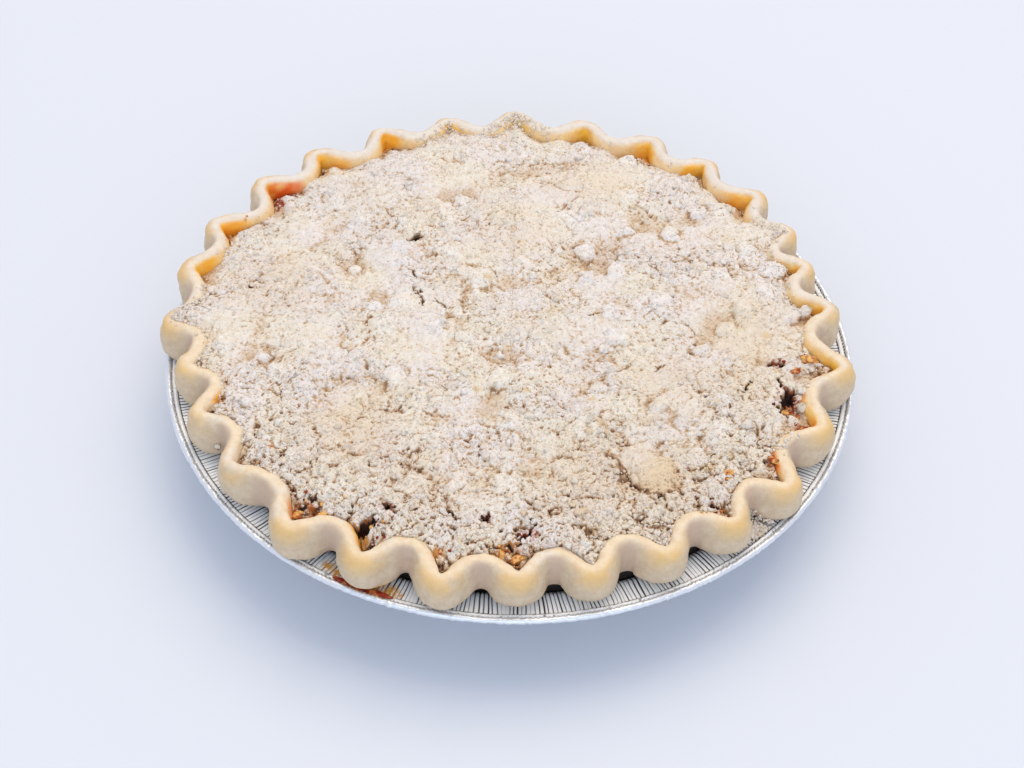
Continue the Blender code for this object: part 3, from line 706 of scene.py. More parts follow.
def outline_by_angle():
    """The crumble's outline as sorted angles, with its reach, its level and how much it covers the crest there."""
    place = np.arange(len(PINCHES) * OUTLINE_COLUMNS_A_PINCH) / OUTLINE_COLUMNS_A_PINCH
    pocket = pocket_depth(place)
    cover, far_out = np.zeros_like(place), np.zeros_like(place)
    for middle, half_width, reach in COVERED:
        share = eased(nearness(place, middle, half_width)[1], 1.0, 0.45)
        cover, far_out = np.maximum(cover, share), np.maximum(far_out, share * reach)
    pressed = (CRUMBLE_PRESSED + noise((26 * place,), (0.8, 4, 97))) * np.exp(-0.3 * pocket)
    outline = inner_face(place, POCKET_REST + POCKET_GAP * pocket - pressed - far_out)
    level = np.maximum(CRUMBLE_EDGE - LOBE_FALL * wave(place)[2] - POCKET_FALL * pocket, LEAST_EDGE)
    level += (CREST_HEIGHT + COVER_HEIGHT - level) * cover + noise((26 * place,), (0.7, 6, 98))
    angle = np.arctan2(outline[:, 1], outline[:, 0])
    return np.stack([angle, np.hypot(*outline.T), level, cover])[:, np.argsort(angle)]


OUTLINE = outline_by_angle()
REACH, LEVEL, COVER = 1, 2, 3


def at_outline(x, y, row):
    """What a row of the outline, such as its reach, says in the direction of each point."""
    return np.interp(np.arctan2(y, x), OUTLINE[0], OUTLINE[row], period=ROUND)


def share_of_outline(x, y):
    """How far out a point lies: 0 on the axis, 1 on the outline."""
    return np.hypot(x, y) / at_outline(x, y, REACH)


def swells(x, y):
    """Broad low waves in seeded directions and of seeded lengths."""
    rng = np.random.default_rng(SEED)
    height = np.zeros_like(x)
    for _ in range(SWELLS):
        heading, phase = rng.uniform(0, ROUND, 2)
        length = rng.uniform(*SWELL_LENGTHS)
        across = x * math.cos(heading) + y * math.sin(heading)
        height += SWELL_HEIGHT * np.sin(ROUND * across / length + phase)
    return height


def within_areas(x, y, areas):
    """How far each point lies within the broad areas: each falls off from its middle as exp(-d^4)."""
    most = np.zeros_like(x)
    for area_x, area_y, radius, strength in areas:
        away = ((x - area_x) ** 2 + (y - area_y) ** 2) / radius**2
        most = np.maximum(most, strength * np.exp(-(away**2)))
    return most


def baked_tan(x, y):
    """How tan the crumble is baked: in spots, and on the largest lump, more towards its near end."""
    away, along = big_lump(x, y)
    tan = eased(away, 1.1, 0.95) * (0.35 + 0.5 * eased(along, -0.6, 0.5))
    for spot_x, spot_y, radius, strength in TAN_SPOTS:
        away = np.hypot(x - spot_x, (y - spot_y) * TAN_SPOT_SQUASH) / radius
        tan = np.maximum(tan, strength * eased(away, 1.0, 0.3))
    return np.maximum(tan, within_areas(x, y, WARM_AREAS))


def dent_depth(x, y):
    """Depth of the holes and slits: each falls off as exp(-d^4), d the distance in half lengths and widths."""
    deepest = np.zeros_like(x)
    x, y = ragged(x, y, (1.6, 3.0, (81, 82)), (1.2, 1.1, (83, 84)))
    for dent_x, dent_y, length, width, turn, depth in DENTS:
        along, across = in_frame(x, y, dent_x, dent_y, turn)
        away = (along / length) ** 2 + (across / width) ** 2
        deepest = np.maximum(deepest, depth * np.exp(-(away**2)))
    return deepest


def coarseness(x, y):
    """How coarse the crumble is, from 0 to 1: in patches, and more towards the front edge."""
    edge = eased(share_of_outline(x, y), 0.78, 0.95)
    coarse = 0.24 + noise((x, y), (0.5, 21, 91)) + 0.45 * eased(-y, 15, 85) + 0.3 * edge * eased(-y, -30, 40)
    return np.clip(coarse, 0, 1.25)


def broad_form(x, y):
    """Height above of the crumble without its relief: a low dome with swells that falls off at the outline."""
    share = share_of_outline(x, y)
    inner = np.minimum(share, 1)
    height = CRUMBLE_SHOULDER + CRUMBLE_DOME * (1 - inner**DOME_POWER) + swells(x, y) * (1 - inner**SWELL_POWER)
    height += noise((x, y), (1.6, 13, 92)) + COVER_RAISE * at_outline(x, y, COVER) * eased(share, 0.7, 0.95)
    return height + (at_outline(x, y, LEVEL) - height) * eased(share, 0.92, 1.0)


def lump_places():
    """x, y and radius of each lump: the named ones, then seeded ones from the largest down, spread evenly."""
    chosen = list(LARGE_LUMPS)
    rng = np.random.default_rng(SEED)
    for radius in np.geomspace(LUMP_LARGEST, LUMP_SMALLEST, LUMP_COUNT):
        for _ in range(LUMP_TRIES):
            distance = CRUST_INNER_RADIUS * math.sqrt(rng.uniform())
            direction = rng.uniform(0, ROUND)
            x, y = distance * math.cos(direction), distance * math.sin(direction)
            clear_of_rim = share_of_outline(x, y) * (1 + LUMP_RIM_ROOM * radius / distance) < 1
            crowded = any(
                math.hypot(x - other_x, y - other_y) < LUMP_SPACING * (radius + other)
                for other_x, other_y, other in chosen
            )
            if clear_of_rim and not crowded:
                chosen.append((x, y, radius))
                break
    return np.array(chosen)


LUMPS = lump_places()


def big_lump(x, y):
    """How far out each point lies on the largest lump, 1 at its ragged foot, and how far along its length."""
    lump_x, lump_y, half_length, half_width, turn = BIG_LUMP
    along, across = in_frame(x, y, lump_x, lump_y, turn)
    uneven = 1 + noise((x, y), (0.22, 6.0, 136), (0.10, 2.0, 137))
    return np.hypot(along / half_length, across / half_width) * uneven, along / half_length


def with_lumps(x, y, height):
    """The height raised to the lumps' tops, (1 - d^p)^q above their feet, and how near each point is to one."""
    ragged_x, ragged_y = ragged(x, y, (1.9, 6.0, (131, 133)), (0.6, 1.9, (132, 134)))
    uneven = noise((x, y), (0.5, 3.4, 135))
    flatness = LUMP_FLATNESS * np.minimum(1, LUMP_LARGEST / LUMPS[:, 2]) ** 0.5
    named = np.arange(len(LUMPS)) < len(LARGE_LUMPS)
    tops = broad_form(*LUMPS[:, :2].T) + (flatness - LUMP_SUNK) * LUMPS[:, 2] * np.where(named, 0.8, 0.6)
    within = np.zeros_like(x)
    for (lump_x, lump_y, radius), top in zip(LUMPS[1:], tops[1:]):
        away = np.hypot(ragged_x - lump_x, ragged_y - lump_y) / radius
        thickness = 1.0 + 0.4 * radius
        raised = top - thickness + thickness * np.maximum(1 - away**LUMP_POWER, 0) ** 0.65 + uneven
        height = np.where((away < 1) & (raised > height), raised, height)
        within = np.maximum(within, np.where(away < 1.25, eased(away, 1.2, 0.95), 0))
    away = big_lump(x, y)[0]
    raised = broad_form(x, y) - BIG_LUMP_ROOT
    raised += (BIG_LUMP_RISE + BIG_LUMP_ROOT) * np.maximum(1 - away**LUMP_POWER, 0) ** 0.6
    raised += 1.3 * (pebbles(x, y, 4.8, 221) - 0.6) + 0.45 * (pebbles(x, y, 1.7, 231) - 0.6)
    height = np.where((away < 1) & (raised > height), raised, height)
    return height, np.maximum(within, eased(away, 1.15, 0.95))


def crumble_surface(x, y):
    """Height in the frame of the crumble's top, how near each point is to a lump, and how deep it lies in a hole."""
    coarse = coarseness(x, y)
    bumps = np.zeros_like(x)
    for number, (spacing, height, least, growth) in enumerate(BUMPS):
        bumps += height * (least + growth * coarse) * pebbles(x, y, spacing, 101 + 20 * number)
    pits = eased(noise((x, y), (1, 2.1, 95)), 0.5, 0.8) * (0.1 + coarse)
    height, near_lump = with_lumps(x, y, broad_form(x, y) + BUMPS_SCALE * (bumps - BUMPS_MIDDLE))
    fine = (0.30 * pebbles(x, y, 1.3, 205) + 0.20 * pebbles(x, y, 0.8, 215)) * near_lump
    fine += noise((x, y), (0.16, 1.0, 225), (0.12, 0.6, 235))
    hole = dent_depth(x, y)
    return RIM_HEIGHT + height + fine - PIT_DEPTH * pits * (1 - near_lump) - hole, near_lump, hole


def disc_grid(steps):
    """A square grid from -1 to 1 pressed onto a unit disc, so that its squares stay near one size."""
    line = np.linspace(-1, 1, steps + 1)
    across, along = np.meshgrid(line, line)
    wide = np.abs(across) > np.abs(along)
    reach = np.where(wide, across, along)
    other = np.where(wide, along, across)
    turn = math.pi / 4 * other / np.where(reach == 0, 1, reach)
    turn = np.where(wide, turn, math.pi / 2 - turn)
    return reach * np.cos(turn), reach * np.sin(turn)


def blurred(grid, reach):
    """The mean over squares of 2 reach + 1 cells, from running sums along both axes."""
    side = 2 * reach + 1
    for axis in (0, 1):
        padding = [(reach + 1, reach) if k == axis else (0, 0) for k in (0, 1)]
        sums = np.cumsum(np.pad(grid, padding, mode="edge"), axis=axis)
        count = grid.shape[axis]
        later = np.take(sums, np.arange(side, side + count), axis=axis)
        grid = (later - np.take(sums, np.arange(count), axis=axis)) / side
    return grid


def crumble_marks(points, deep, tan, shade):
    """The marks that the crumble's finish reads, with syrup in what lies low enough to touch the filling."""
    syrup, red = syrup_on(points)
    x, y, z = points.T
    wet = eased(z - RIM_HEIGHT + noise((x, y), (1.2, 2.4, 63)), 9.8, 7.4)
    wet *= np.hypot(x, y) < at_outline(x, y, REACH) + 0.5
    speckled = 0.25 + 0.6 * coarseness(x, y)
    syrup, red = np.maximum(0.9 * syrup, wet), np.maximum(red, wet)
    # The deep mark is painted shade: darker in hollows, holes and gaps, and on the crumbs' undersides
    return {"deep": deep, "tan": tan, "shade": shade, "speckled": speckled, "syrup": syrup, "red": red}


def crumble_painted_shade(x, y, height, hole):
    """Painted shade of the crumble: darker the further each point lies below the mean around it, near and far, in broad
    low areas and holes, in a line before the largest lump and in gaps at the low edge.
    """
    coarse = coarseness(x, y)
    away = big_lump(x, y)[0]
    hollow = sum(
        np.clip((blurred(height, cells) - height) / depth - less, 0, 1) * (dark + darker * coarse)
        for cells, depth, less, dark, darker in HOLLOWS
    )
    hollow *= 1 - 0.6 * eased(away, 1.0, 0.85)
    hollow *= (0.65 + 0.6 * coarse) * (1 - 0.6 * within_areas(x, y, LESS_SHADED_AREAS))
    # Painted shade in broad low areas and in the holes
    low = np.clip((blurred(height, 36) - height) / 4.0, 0, 0.35) + 0.7 * np.maximum(hole - 0.3, 0)
    # Painted shadow: a dark line along the largest lump's foot on its near side
    before_big = eased(-0.55 * (x - BIG_LUMP[0]) - 0.83 * (y - BIG_LUMP[1]), 1.0, 4.0)
    low += 1.5 * before_big * bell(away, 1.05, 0.07)
    # Painted shade in the gaps where the crumble's edge lies low
    sunk = eased(at_outline(x, y, LEVEL), 13.0, 10.5) * eased(noise((x, y), (1, 2.2, 113)), -0.2, 0.3)
    return hollow + low + 1.5 * sunk * eased(share_of_outline(x, y), 0.972, 0.992)


def quarter_faces(side, rows):
    """Faces of a square grid with a skirt of rows round it and a last point that closes it below, and its border."""
    grid = np.arange(side**2).reshape(side, side)
    quads = np.stack([grid[:-1, :-1], grid[:-1, 1:], grid[1:, 1:], grid[1:, :-1]], axis=-1).reshape(-1, 4)
    border = np.concatenate([grid[0, :-1], grid[:-1, -1], grid[-1, :0:-1], grid[:0:-1, 0]])
    rings = np.concatenate([[border], grid.size + np.arange(rows * len(border)).reshape(rows, -1)])
    after = np.roll(rings, -1, axis=1)
    sides = np.stack([rings[:-1], rings[1:], after[1:], after[:-1]], axis=-1).reshape(-1, 4)
    lowest = np.full(len(border), grid.size + rows * len(border))
    return [quads, sides, np.stack([lowest, after[-1], rings[-1]], axis=1)], border


def crumble_core(crumble):
    """The bulk of the crumble: a disc grid stretched to the outline and lifted by its relief, cut into quarters."""
    x, y = disc_grid(CORE_STEPS)
    x, y = np.stack([x, y]) * at_outline(x, y, REACH)
    height, near_lump, hole = crumble_surface(x, y)
    deep = crumble_painted_shade(x, y, height, hole)
    shade = 0.5 + noise((x, y), (0.5, 2.0, 111), (0.25, 0.8, 112)) + 0.3 * near_lump
    values = np.stack([x, y, height, deep, baked_tan(x, y), shade], axis=-1)
    half = CORE_STEPS // 2
    faces, border = quarter_faces(half + 1, SKIRT_ROWS)
    share = (np.arange(SKIRT_ROWS) + 1)[:, None, None] / SKIRT_ROWS
    bottom = (0, 0, RIM_HEIGHT + CORE_BOTTOM)
    pieces = []
    for row, column in itertools.product(("front", "back"), ("left", "right")):
        part = values[half * (row == "back"):, half * (column == "right"):][:half + 1, :half + 1].reshape(-1, 6)
        top = part[:, :3]
        end = top[border] * (SKIRT_DRAWN_IN, SKIRT_DRAWN_IN, 0) + bottom
        skirt = top[border] + (end - top[border]) * share
        points = np.concatenate([top, skirt.reshape(-1, 3), [top.mean(axis=0) * (1, 1, 0) + bottom]])
        spare = np.tile((SKIRT_PAINTED_SHADE, 0, 1), (len(points) - len(top), 1))
        marks = crumble_marks(points, *np.concatenate([part[:, 3:], spare]).T)
        pieces.append(add_piece(f"crumble_bulk_{row}_{column}", points, faces, crumble, marks))
    for piece in pieces:
        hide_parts("crumble_topping")
    return values[..., :3].reshape(-1, 3)


def ball(columns, rings):
    """A unit ball from pole to pole, each ring turned half a step from the last, and its triangles."""
    fall = math.pi * (np.arange(rings) + 1)[:, None] / (rings + 1)
    turn = ROUND * (np.arange(columns) + 0.5 * np.arange(rings)[:, None]) / columns
    points = np.concatenate([turned(np.sin(fall), turn, np.cos(fall)).reshape(-1, 3), [(0, 0, 1), (0, 0, -1)]])
    here = np.arange(columns)
    following = np.roll(here, -1)
    row = (np.arange(rings - 1) * columns)[:, None]
    down = np.stack([row + here, row + columns + here, row + following], axis=-1).reshape(-1, 3)
    up = np.stack([row + following, row + columns + here, row + columns + following], axis=-1).reshape(-1, 3)
    return points, np.concatenate([down, up, *(fan[:, ::-1] for fan in end_fans(rings, columns))])


def copies(triangles, count, each):
    """The triangles of many copies of a mesh whose points follow one another, each copy with as many points."""
    return (triangles + (np.arange(count) * each)[:, None, None]).reshape(-1, 3)


def random_turns(count, rng):
    """Turning matrices from quaternions drawn evenly from all turns."""
    w, x, y, z = rng.normal(size=(4, count))
    length = np.sqrt(w * w + x * x + y * y + z * z)
    w, x, y, z = w / length, x / length, y / length, z / length
    return np.stack([
        np.stack([1 - 2 * (y * y + z * z), 2 * (x * y - z * w), 2 * (x * z + y * w)], axis=-1),
        np.stack([2 * (x * y + z * w), 1 - 2 * (x * x + z * z), 2 * (y * z - x * w)], axis=-1),
        np.stack([2 * (x * z - y * w), 2 * (y * z + x * w), 1 - 2 * (x * x + y * y)], axis=-1),
    ], axis=1)


def many_crumbs(middles, sizes, columns, rings, rough, rng):
    """Points and faces of many crumbs: a ball for each, pushed in and out, squashed, turned, moved, and its heights."""
    base, triangles = ball(columns, rings)
    count = len(middles)
    push = 1 + rough * rng.uniform(-1, 1, (count, len(base), 1))
    axes = (base[None, :, 0] + np.arange(count)[:, None] * 3.7, base[None, :, 1], base[None, :, 2])
    push += noise(axes, (1.4 * rough, 0.9, 141))[..., None]
    shaped = base * push * rng.uniform(*CRUMB_SQUASH, (count, 1, 3))
    rolled = np.einsum("nij,npj->npi", random_turns(count, rng), shaped)
    points = middles[:, None] + np.reshape(sizes, (-1, 1, 1)) * rolled
    return points.reshape(-1, 3), copies(triangles, count, len(base)), rolled[..., 2].ravel(), len(base)


def scattered(count, rng, largest, keeps_to_coarse):
    """Points on the crumble, outside its holes and off its largest lump, with the height of the surface."""
    radius = CRUMBS_REACH * np.sqrt(rng.uniform(size=CRUMB_TRIES * count))
    turn = rng.uniform(0, ROUND, CRUMB_TRIES * count)
    x, y = radius * np.cos(turn), radius * np.sin(turn)
    room = share_of_outline(x, y) < 1.0 - largest / 160
    fitting = rng.uniform(size=len(x)) > keeps_to_coarse * (1 - coarseness(x, y))
    on_big = (big_lump(x, y)[0] < 1.1) & (largest > 1)
    kept = np.flatnonzero(room & (dent_depth(x, y) <= OPEN_HOLE) & fitting & ~on_big)[:count]
    return x[kept], y[kept], crumble_surface(x[kept], y[kept])[0]


def add_crumbs(name, middles, across, size_of_ball, rough, rng, crumble, darker=1.0, least_tan=0.0):
    """One piece of many crumbs with painted shade on their sides and undersides, each crumb with a tone of its own."""
    points, faces, facing, each = many_crumbs(middles, across / 2, *size_of_ball, rough, rng)
    x, y, _ = points.T
    # Painted shade: darker on the sides and undersides that face away from above
    deep = darker * np.clip(0.5 - 0.9 * facing, 0, 1) * (0.65 + 0.5 * coarseness(x, y))
    deep *= 1 - 0.5 * within_areas(x, y, LESS_SHADED_AREAS)
    shade = np.repeat(rng.uniform(size=len(middles)), each)
    tan = np.repeat(0.7 * (rng.uniform(size=len(middles)) > 1 - TAN_CRUMBS), each)
    tan = np.maximum(np.maximum(tan, least_tan), baked_tan(x, y))
    add_piece(name, points, [faces], crumble, crumble_marks(points, deep, tan, shade))


def loose_crumbs(crumble):
    """Crumbs of four kinds over the whole crumble, each kind with sizes drawn so that small ones are common."""
    for number, (name, count, smallest, largest, columns, rings, rough, raised, keeps) in enumerate(CRUMB_KINDS):
        rng = np.random.default_rng(SEED + 10 + number)
        x, y, surface = scattered(count, rng, largest, keeps)
        across = smallest * (largest / smallest) ** (rng.uniform(size=len(x)) ** 1.6)
        lift = across * rng.uniform(-0.3, raised, len(x))
        add_crumbs(name, np.stack([x, y, surface + lift], axis=1), across, (columns, rings), rough, rng, crumble)


def map_cells(x, y, side):
    """The row and the column of the map of heights that each point lies in."""
    return tuple(np.clip(((axis + MAP_REACH) / MAP_STEP).astype(int), 0, side - 1) for axis in (y, x))


def height_map(surfaces):
    """The highest point in each half-millimetre square over the pie; an empty square takes its neighbours' highest."""
    side = int(2 * MAP_REACH / MAP_STEP)
    top = np.full((side, side), -1.0)
    for x, y, z in (points.T for points in surfaces):
        np.maximum.at(top, map_cells(x, y, side), z)
    for _ in range(4):
        padded = np.pad(top, 1, constant_values=-1.0)
        around = [padded[up:up + side, right:right + side] for up in (0, 1, 2) for right in (0, 1, 2)]
        top = np.where(top < 0, np.max(around, axis=0), top)
    return top


def resting_on(heights, x, y):
    """The height that a crumb at each place rests on."""
    return heights[map_cells(x, y, len(heights))]


def spilled_crumbs(crumble, heights):
    """Crumbs on the crust's rim, and a small slope of them that fell through a notch onto the tin."""
    rng = np.random.default_rng(SEED + 20)
    many, inmost, outmost = RIM_FILLING
    at = np.arange(len(PINCHES))[:, None] + 0.5 + rng.uniform(-0.5, 0.5, (len(PINCHES), many))
    at = at[pocket_depth(at) < SHALLOW_POCKET]
    spots = [beside_line(at, rng.uniform(inmost, outmost, at.shape))]
    lifts = [rng.uniform(-0.3, 0.3, at.shape)]
    for place, half_width, inmost, outmost, count in RIM_SPILLS:
        at = place + half_width * np.clip(rng.normal(0, 0.5, count), -1, 1)
        spots.append(beside_line(at, inmost + (outmost - inmost) * rng.uniform(size=count) ** 1.5))
        lifts.append(rng.uniform(-0.25, 0.35, count))
    first, last, near, far, high, count = TIN_SPILL
    angle = np.radians(first + (last - first) * np.clip(rng.normal(0.5, 0.24, count), 0, 1))
    along = rng.uniform(size=count)
    spots.append(turned(near + (far - near) * along, angle, 0.0)[:, :2])
    x, y = np.concatenate(spots).T
    ground = resting_on(heights, x, y)
    slope = RIM_HEIGHT + high * (1 - along) ** 1.2 * rng.uniform(0.3, 1.0, count)
    ground[-count:] = np.clip(ground[-count:], slope, slope + 2)
    lifts.append(rng.uniform(0, 0.5, count))
    across = SPILLED_SMALLEST * SPILLED_RATIO ** (rng.uniform(size=len(x)) ** 1.8)
    middles = np.stack([x, y, ground + np.concatenate(lifts)], axis=1)
    # Less painted shade on the spilled crumbs, and a tan tint that is painted warm light on their shaded sides
    add_crumbs("spilled_crumbs", middles, across, (6, 3), 0.2, rng, crumble, darker=0.4, least_tan=0.25)
    x, y, lift, across = np.array(EDGE_LUMPS).T
    middles = np.stack([x, y, resting_on(heights, x, y) + lift], axis=1)
    add_crumbs("edge_lumps", middles, across, (30, 20), 0.2, rng, crumble)


def apple_bits(fruit, heights):
    """Small bits of apple in the holes and pockets, resting on what is there and sunk a little."""
    rng = np.random.default_rng(SEED + 30)
    spots = np.array(APPLE_SPOTS)
    spots = spots[np.repeat(np.arange(len(spots)), spots[:, 3].astype(int))]
    x, y = (spots[:, :2] + rng.normal(0, 0.5, (len(spots), 2)) * spots[:, 2:3]).T
    across = 0.8 * 2.2 ** rng.uniform(size=len(spots))
    middles = np.stack([x, y, resting_on(heights, x, y) + across * rng.uniform(-0.4, 0.0, len(spots))], axis=1)
    points, faces, _, each = many_crumbs(middles, across / 2, 12, 8, 0.28, rng)
    dark = np.clip(spots[:, 4] + rng.uniform(-0.5, 0.3, len(spots)), 0, 1)
    add_piece("apple_bits", points, [faces], fruit, {"dark": np.repeat(dark, each)})


def apple_pieces(fruit, heights):
    """Larger bits of apple: flat ragged balls, each stretched, turned and laid on what is there."""
    base, triangles = ball(40, 26)
    x, y, length, width, turn, dark = np.array(APPLE_PIECES).T[..., None]
    cos, sin = np.cos(np.radians(turn)), np.sin(np.radians(turn))
    axes = (base[:, 0] + np.arange(len(x))[:, None] * 7.3, base[:, 1], base[:, 2])
    uneven = 1 + noise(axes, (0.24, 0.7, 161), (0.12, 0.25, 162))
    along, across = base[:, 0] * uneven * length / 2, base[:, 1] * uneven * width / 2
    rise = resting_on(heights, x, y) + (base[:, 2] * uneven - APPLE_SUNK) * width * APPLE_FLATNESS
    points = np.stack([x + along * cos - across * sin, y + along * sin + across * cos, rise], axis=-1).reshape(-1, 3)
    faces = copies(triangles, len(x), len(base))
    add_piece("apple_pieces", points, [faces], fruit, {"dark": (dark + 0 * along).ravel()})


# Finishes


class Finish:
    """A procedural material built up step by step: each step adds a node and returns its socket.

    Wherever a step takes a socket, a name stands for the mark of that name.
    """

    def __init__(self, name, **constants):
        """Starts a material with constants for its shader, named as the sockets are."""
        self.material = bpy.data.materials.new(name)
        self.material.use_nodes = True
        self.tree = self.material.node_tree
        self.shader = self.tree.nodes["Principled BSDF"]
        for socket, value in constants.items():
            self.shader.inputs[socket.replace("_", " ")].default_value = value

    def node(self, kind, inputs, output=0, **settings):
        """Adds a node with its settings and its inputs, each a socket, the name of a mark or a constant."""
        made = self.tree.nodes.new(kind)
        for setting, value in settings.items():
            setattr(made, setting, value)
        for socket, value in inputs.items():
            if isinstance(value, str):
                value = self.node("ShaderNodeAttribute", {}, "Fac", attribute_name=value)
            if isinstance(value, bpy.types.NodeSocket):
                self.tree.links.new(value, made.inputs[socket])
            else:
                made.inputs[socket].default_value = value
        return made.outputs[output]

    def noise(self, length, detail=3.0, roughness=0.55):
        """Noise whose features are about as long as the length, in millimetres."""
        place = self.node("ShaderNodeTexCoord", {}, "Object")
        inputs = {"Vector": place, "Scale": 1 / (length * MM), "Detail": detail, "Roughness": roughness}
        return self.node("ShaderNodeTexNoise", inputs, "Fac")

    def between(self, value, start, end):
        """0 at the start and before, 1 at the end and beyond, with an eased slope."""
        inputs = {"Value": value, "From Min": start, "From Max": end}
        return self.node("ShaderNodeMapRange", inputs, "Result", interpolation_type="SMOOTHSTEP")

    def ranged(self, value, low, high):
        """A share turned into a number between low and high."""
        return self.node("ShaderNodeMapRange", {"Value": value, "To Min": low, "To Max": high}, "Result")

    def maths(self, operation, first, second):
        """Two numbers put together by the operation."""
        return self.node("ShaderNodeMath", {0: first, 1: second}, operation=operation)

    def times(self, *values):
        """The product of all the values."""
        product, *others = values
        for value in others:
            product = self.maths("MULTIPLY", product, value)
        return product

    def mixed(self, share, first, second):
        """The first colour at share 0 and the second at share 1."""
        first, second = ((*c, 1.0) if isinstance(c, tuple) else c for c in (first, second))
        return self.node("ShaderNodeMix", {"Factor": share, 6: first, 7: second}, 2, data_type="RGBA")

    def drives(self, **inputs):
        """Links steps to the shader's inputs, named as the sockets are."""
        for socket, value in inputs.items():
            self.tree.links.new(value, self.shader.inputs[socket.replace("_", " ")])

    def bump(self, height, distance, strength):
        """A bump of the surface, its distance in millimetres."""
        inputs = {"Height": height, "Distance": distance * MM, "Strength": strength}
        self.drives(Normal=self.node("ShaderNodeBump", inputs))


def foil_finish():
    """Pressed foil, its flange painted white and nearly matt as a painted reflection, with painted shade in the folds
    of its pleats, in its groove, at the ring's foot and in the rim's creases, stained where the syrup leaked.
    """
    foil = Finish("pressed_foil")
    smear = foil.noise(7, 4)
    rim = foil.mixed(smear, (0.84, 0.86, 0.90), (0.72, 0.73, 0.78))
    # Painted reflection: the flange is white and nearly matt in place of the foil's bright shine
    bright = foil.mixed("flange", rim, (1.0, 1.0, 1.0))
    # Painted shade in the folds, at the ring's foot, in the groove and in the rim's creases
    with_fold_shade = foil.mixed(foil.between("fold", 0.25, 0.70), bright, (0.03, 0.022, 0.025))
    soaked = foil.times("stain", foil.between(foil.noise(2.2), 0.35, 0.55))
    foil.drives(
        Base_Color=foil.mixed(soaked, with_fold_shade, (0.72, 0.36, 0.06)),
        Metallic=foil.ranged("flange", 0.6, 0.05),
        Roughness=foil.ranged(smear, 0.26, 0.46),
    )
    foil.bump(foil.noise(1.0), 0.06, 0.6)
    return foil.material


def pastry_finish():
    """Pale pastry, golden on the shoulders of the lobes, yellow inside and stained where the syrup came up; its outer
    faces are darker than the crest partly as painted shade, its notches greyer with painted shade, and painted black
    shadow lies under the notches' arches.
    """
    pastry = Finish(
        "baked_pastry", Roughness=0.58, Subsurface_Weight=0.12, Subsurface_Scale=0.003,
        Subsurface_Radius=(1.0, 0.55, 0.25),
    )
    mixed, between, times = pastry.mixed, pastry.between, pastry.times
    patches = pastry.noise(13)
    mottle = between(pastry.noise(2.4, 6, 0.7), 0.3, 0.7)
    # The outer face: the dough's own tone, made darker than the crest partly as painted shade
    face = mixed(mottle, (0.70, 0.55, 0.385), (0.60, 0.455, 0.30))
    # Painted shade: the notches are greyer, for the shade in their hollows
    notch = mixed(between("lobe", 0.45, 0.0), face, (0.585, 0.42, 0.30))
    yellowish = mixed(mottle, (0.86, 0.70, 0.50), (0.78, 0.59, 0.38))
    pinkish = mixed(mottle, (0.78, 0.71, 0.645), (0.73, 0.625, 0.515))
    pale = mixed(times("browned", between(patches, 0.25, 0.5)), pinkish, yellowish)
    crest = mixed(between("across", 0.50, 0.62), notch, pale)
    shoulder = times(between("across", 0.28, 0.50), between("across", 0.67, 0.52))
    toasted = times(shoulder, between("lobe", 0.25, 1.0), between(patches, 0.30, 0.55), 0.68)
    golden = mixed(toasted, crest, (0.80, 0.49, 0.15))
    inside = times(between("across", 0.68, 0.83), pastry.ranged("lobe", 0.5, 1.0), "yellow")
    yellow = mixed(inside, golden, mixed(mottle, (1.0, 0.60, 0.055), (0.95, 0.48, 0.03)))
    stained = mixed("syrup", yellow, mixed("red", (1.0, 0.54, 0.04), (0.86, 0.14, 0.006)))
    # Painted shadow: near black on the rim's underside at its foot in the notches, where the arches cast their shadow
    under = times(between("across", 0.10, 0.04), between("lobe", 0.6, 0.3))
    pastry.drives(Base_Color=mixed(under, stained, (0.012, 0.008, 0.006)))
    pastry.bump(pastry.maths("ADD", pastry.noise(2.4, 4), times(pastry.noise(0.6, 2), 0.3)), 0.45, 0.8)
    return pastry.material


def fruit_finish():
    """Cooked apple in syrup: amber, with dark red where it lies deep and painted near-black shade where it is darkest,
    down in the holes.
    """
    fruit = Finish(
        "cooked_apple", Roughness=0.3, Subsurface_Weight=0.15, Subsurface_Scale=0.002, Specular_IOR_Level=0.25,
        Subsurface_Radius=(1.0, 0.35, 0.1),
    )
    amber = fruit.mixed(fruit.noise(2.5, 4), (0.74, 0.32, 0.06), (0.86, 0.56, 0.20))
    red = fruit.mixed(fruit.noise(2.5), (0.38, 0.035, 0.008), (0.20, 0.012, 0.005))
    uneven = fruit.ranged(fruit.between(fruit.noise(1.6, 4), 0.35, 0.65), -0.2, 0.2)
    dark = fruit.maths("ADD", "dark", uneven)
    reddened = fruit.mixed(fruit.between(dark, 0.1, 0.6), amber, red)
    # Painted shade: near black where darkest, for the filling and apple bits deep in the holes
    fruit.drives(Base_Color=fruit.mixed(fruit.between(dark, 0.6, 1.0), reddened, (0.035, 0.007, 0.004)))
    fruit.bump(fruit.noise(1.5, 4), 0.15, 0.6)
    return fruit.material


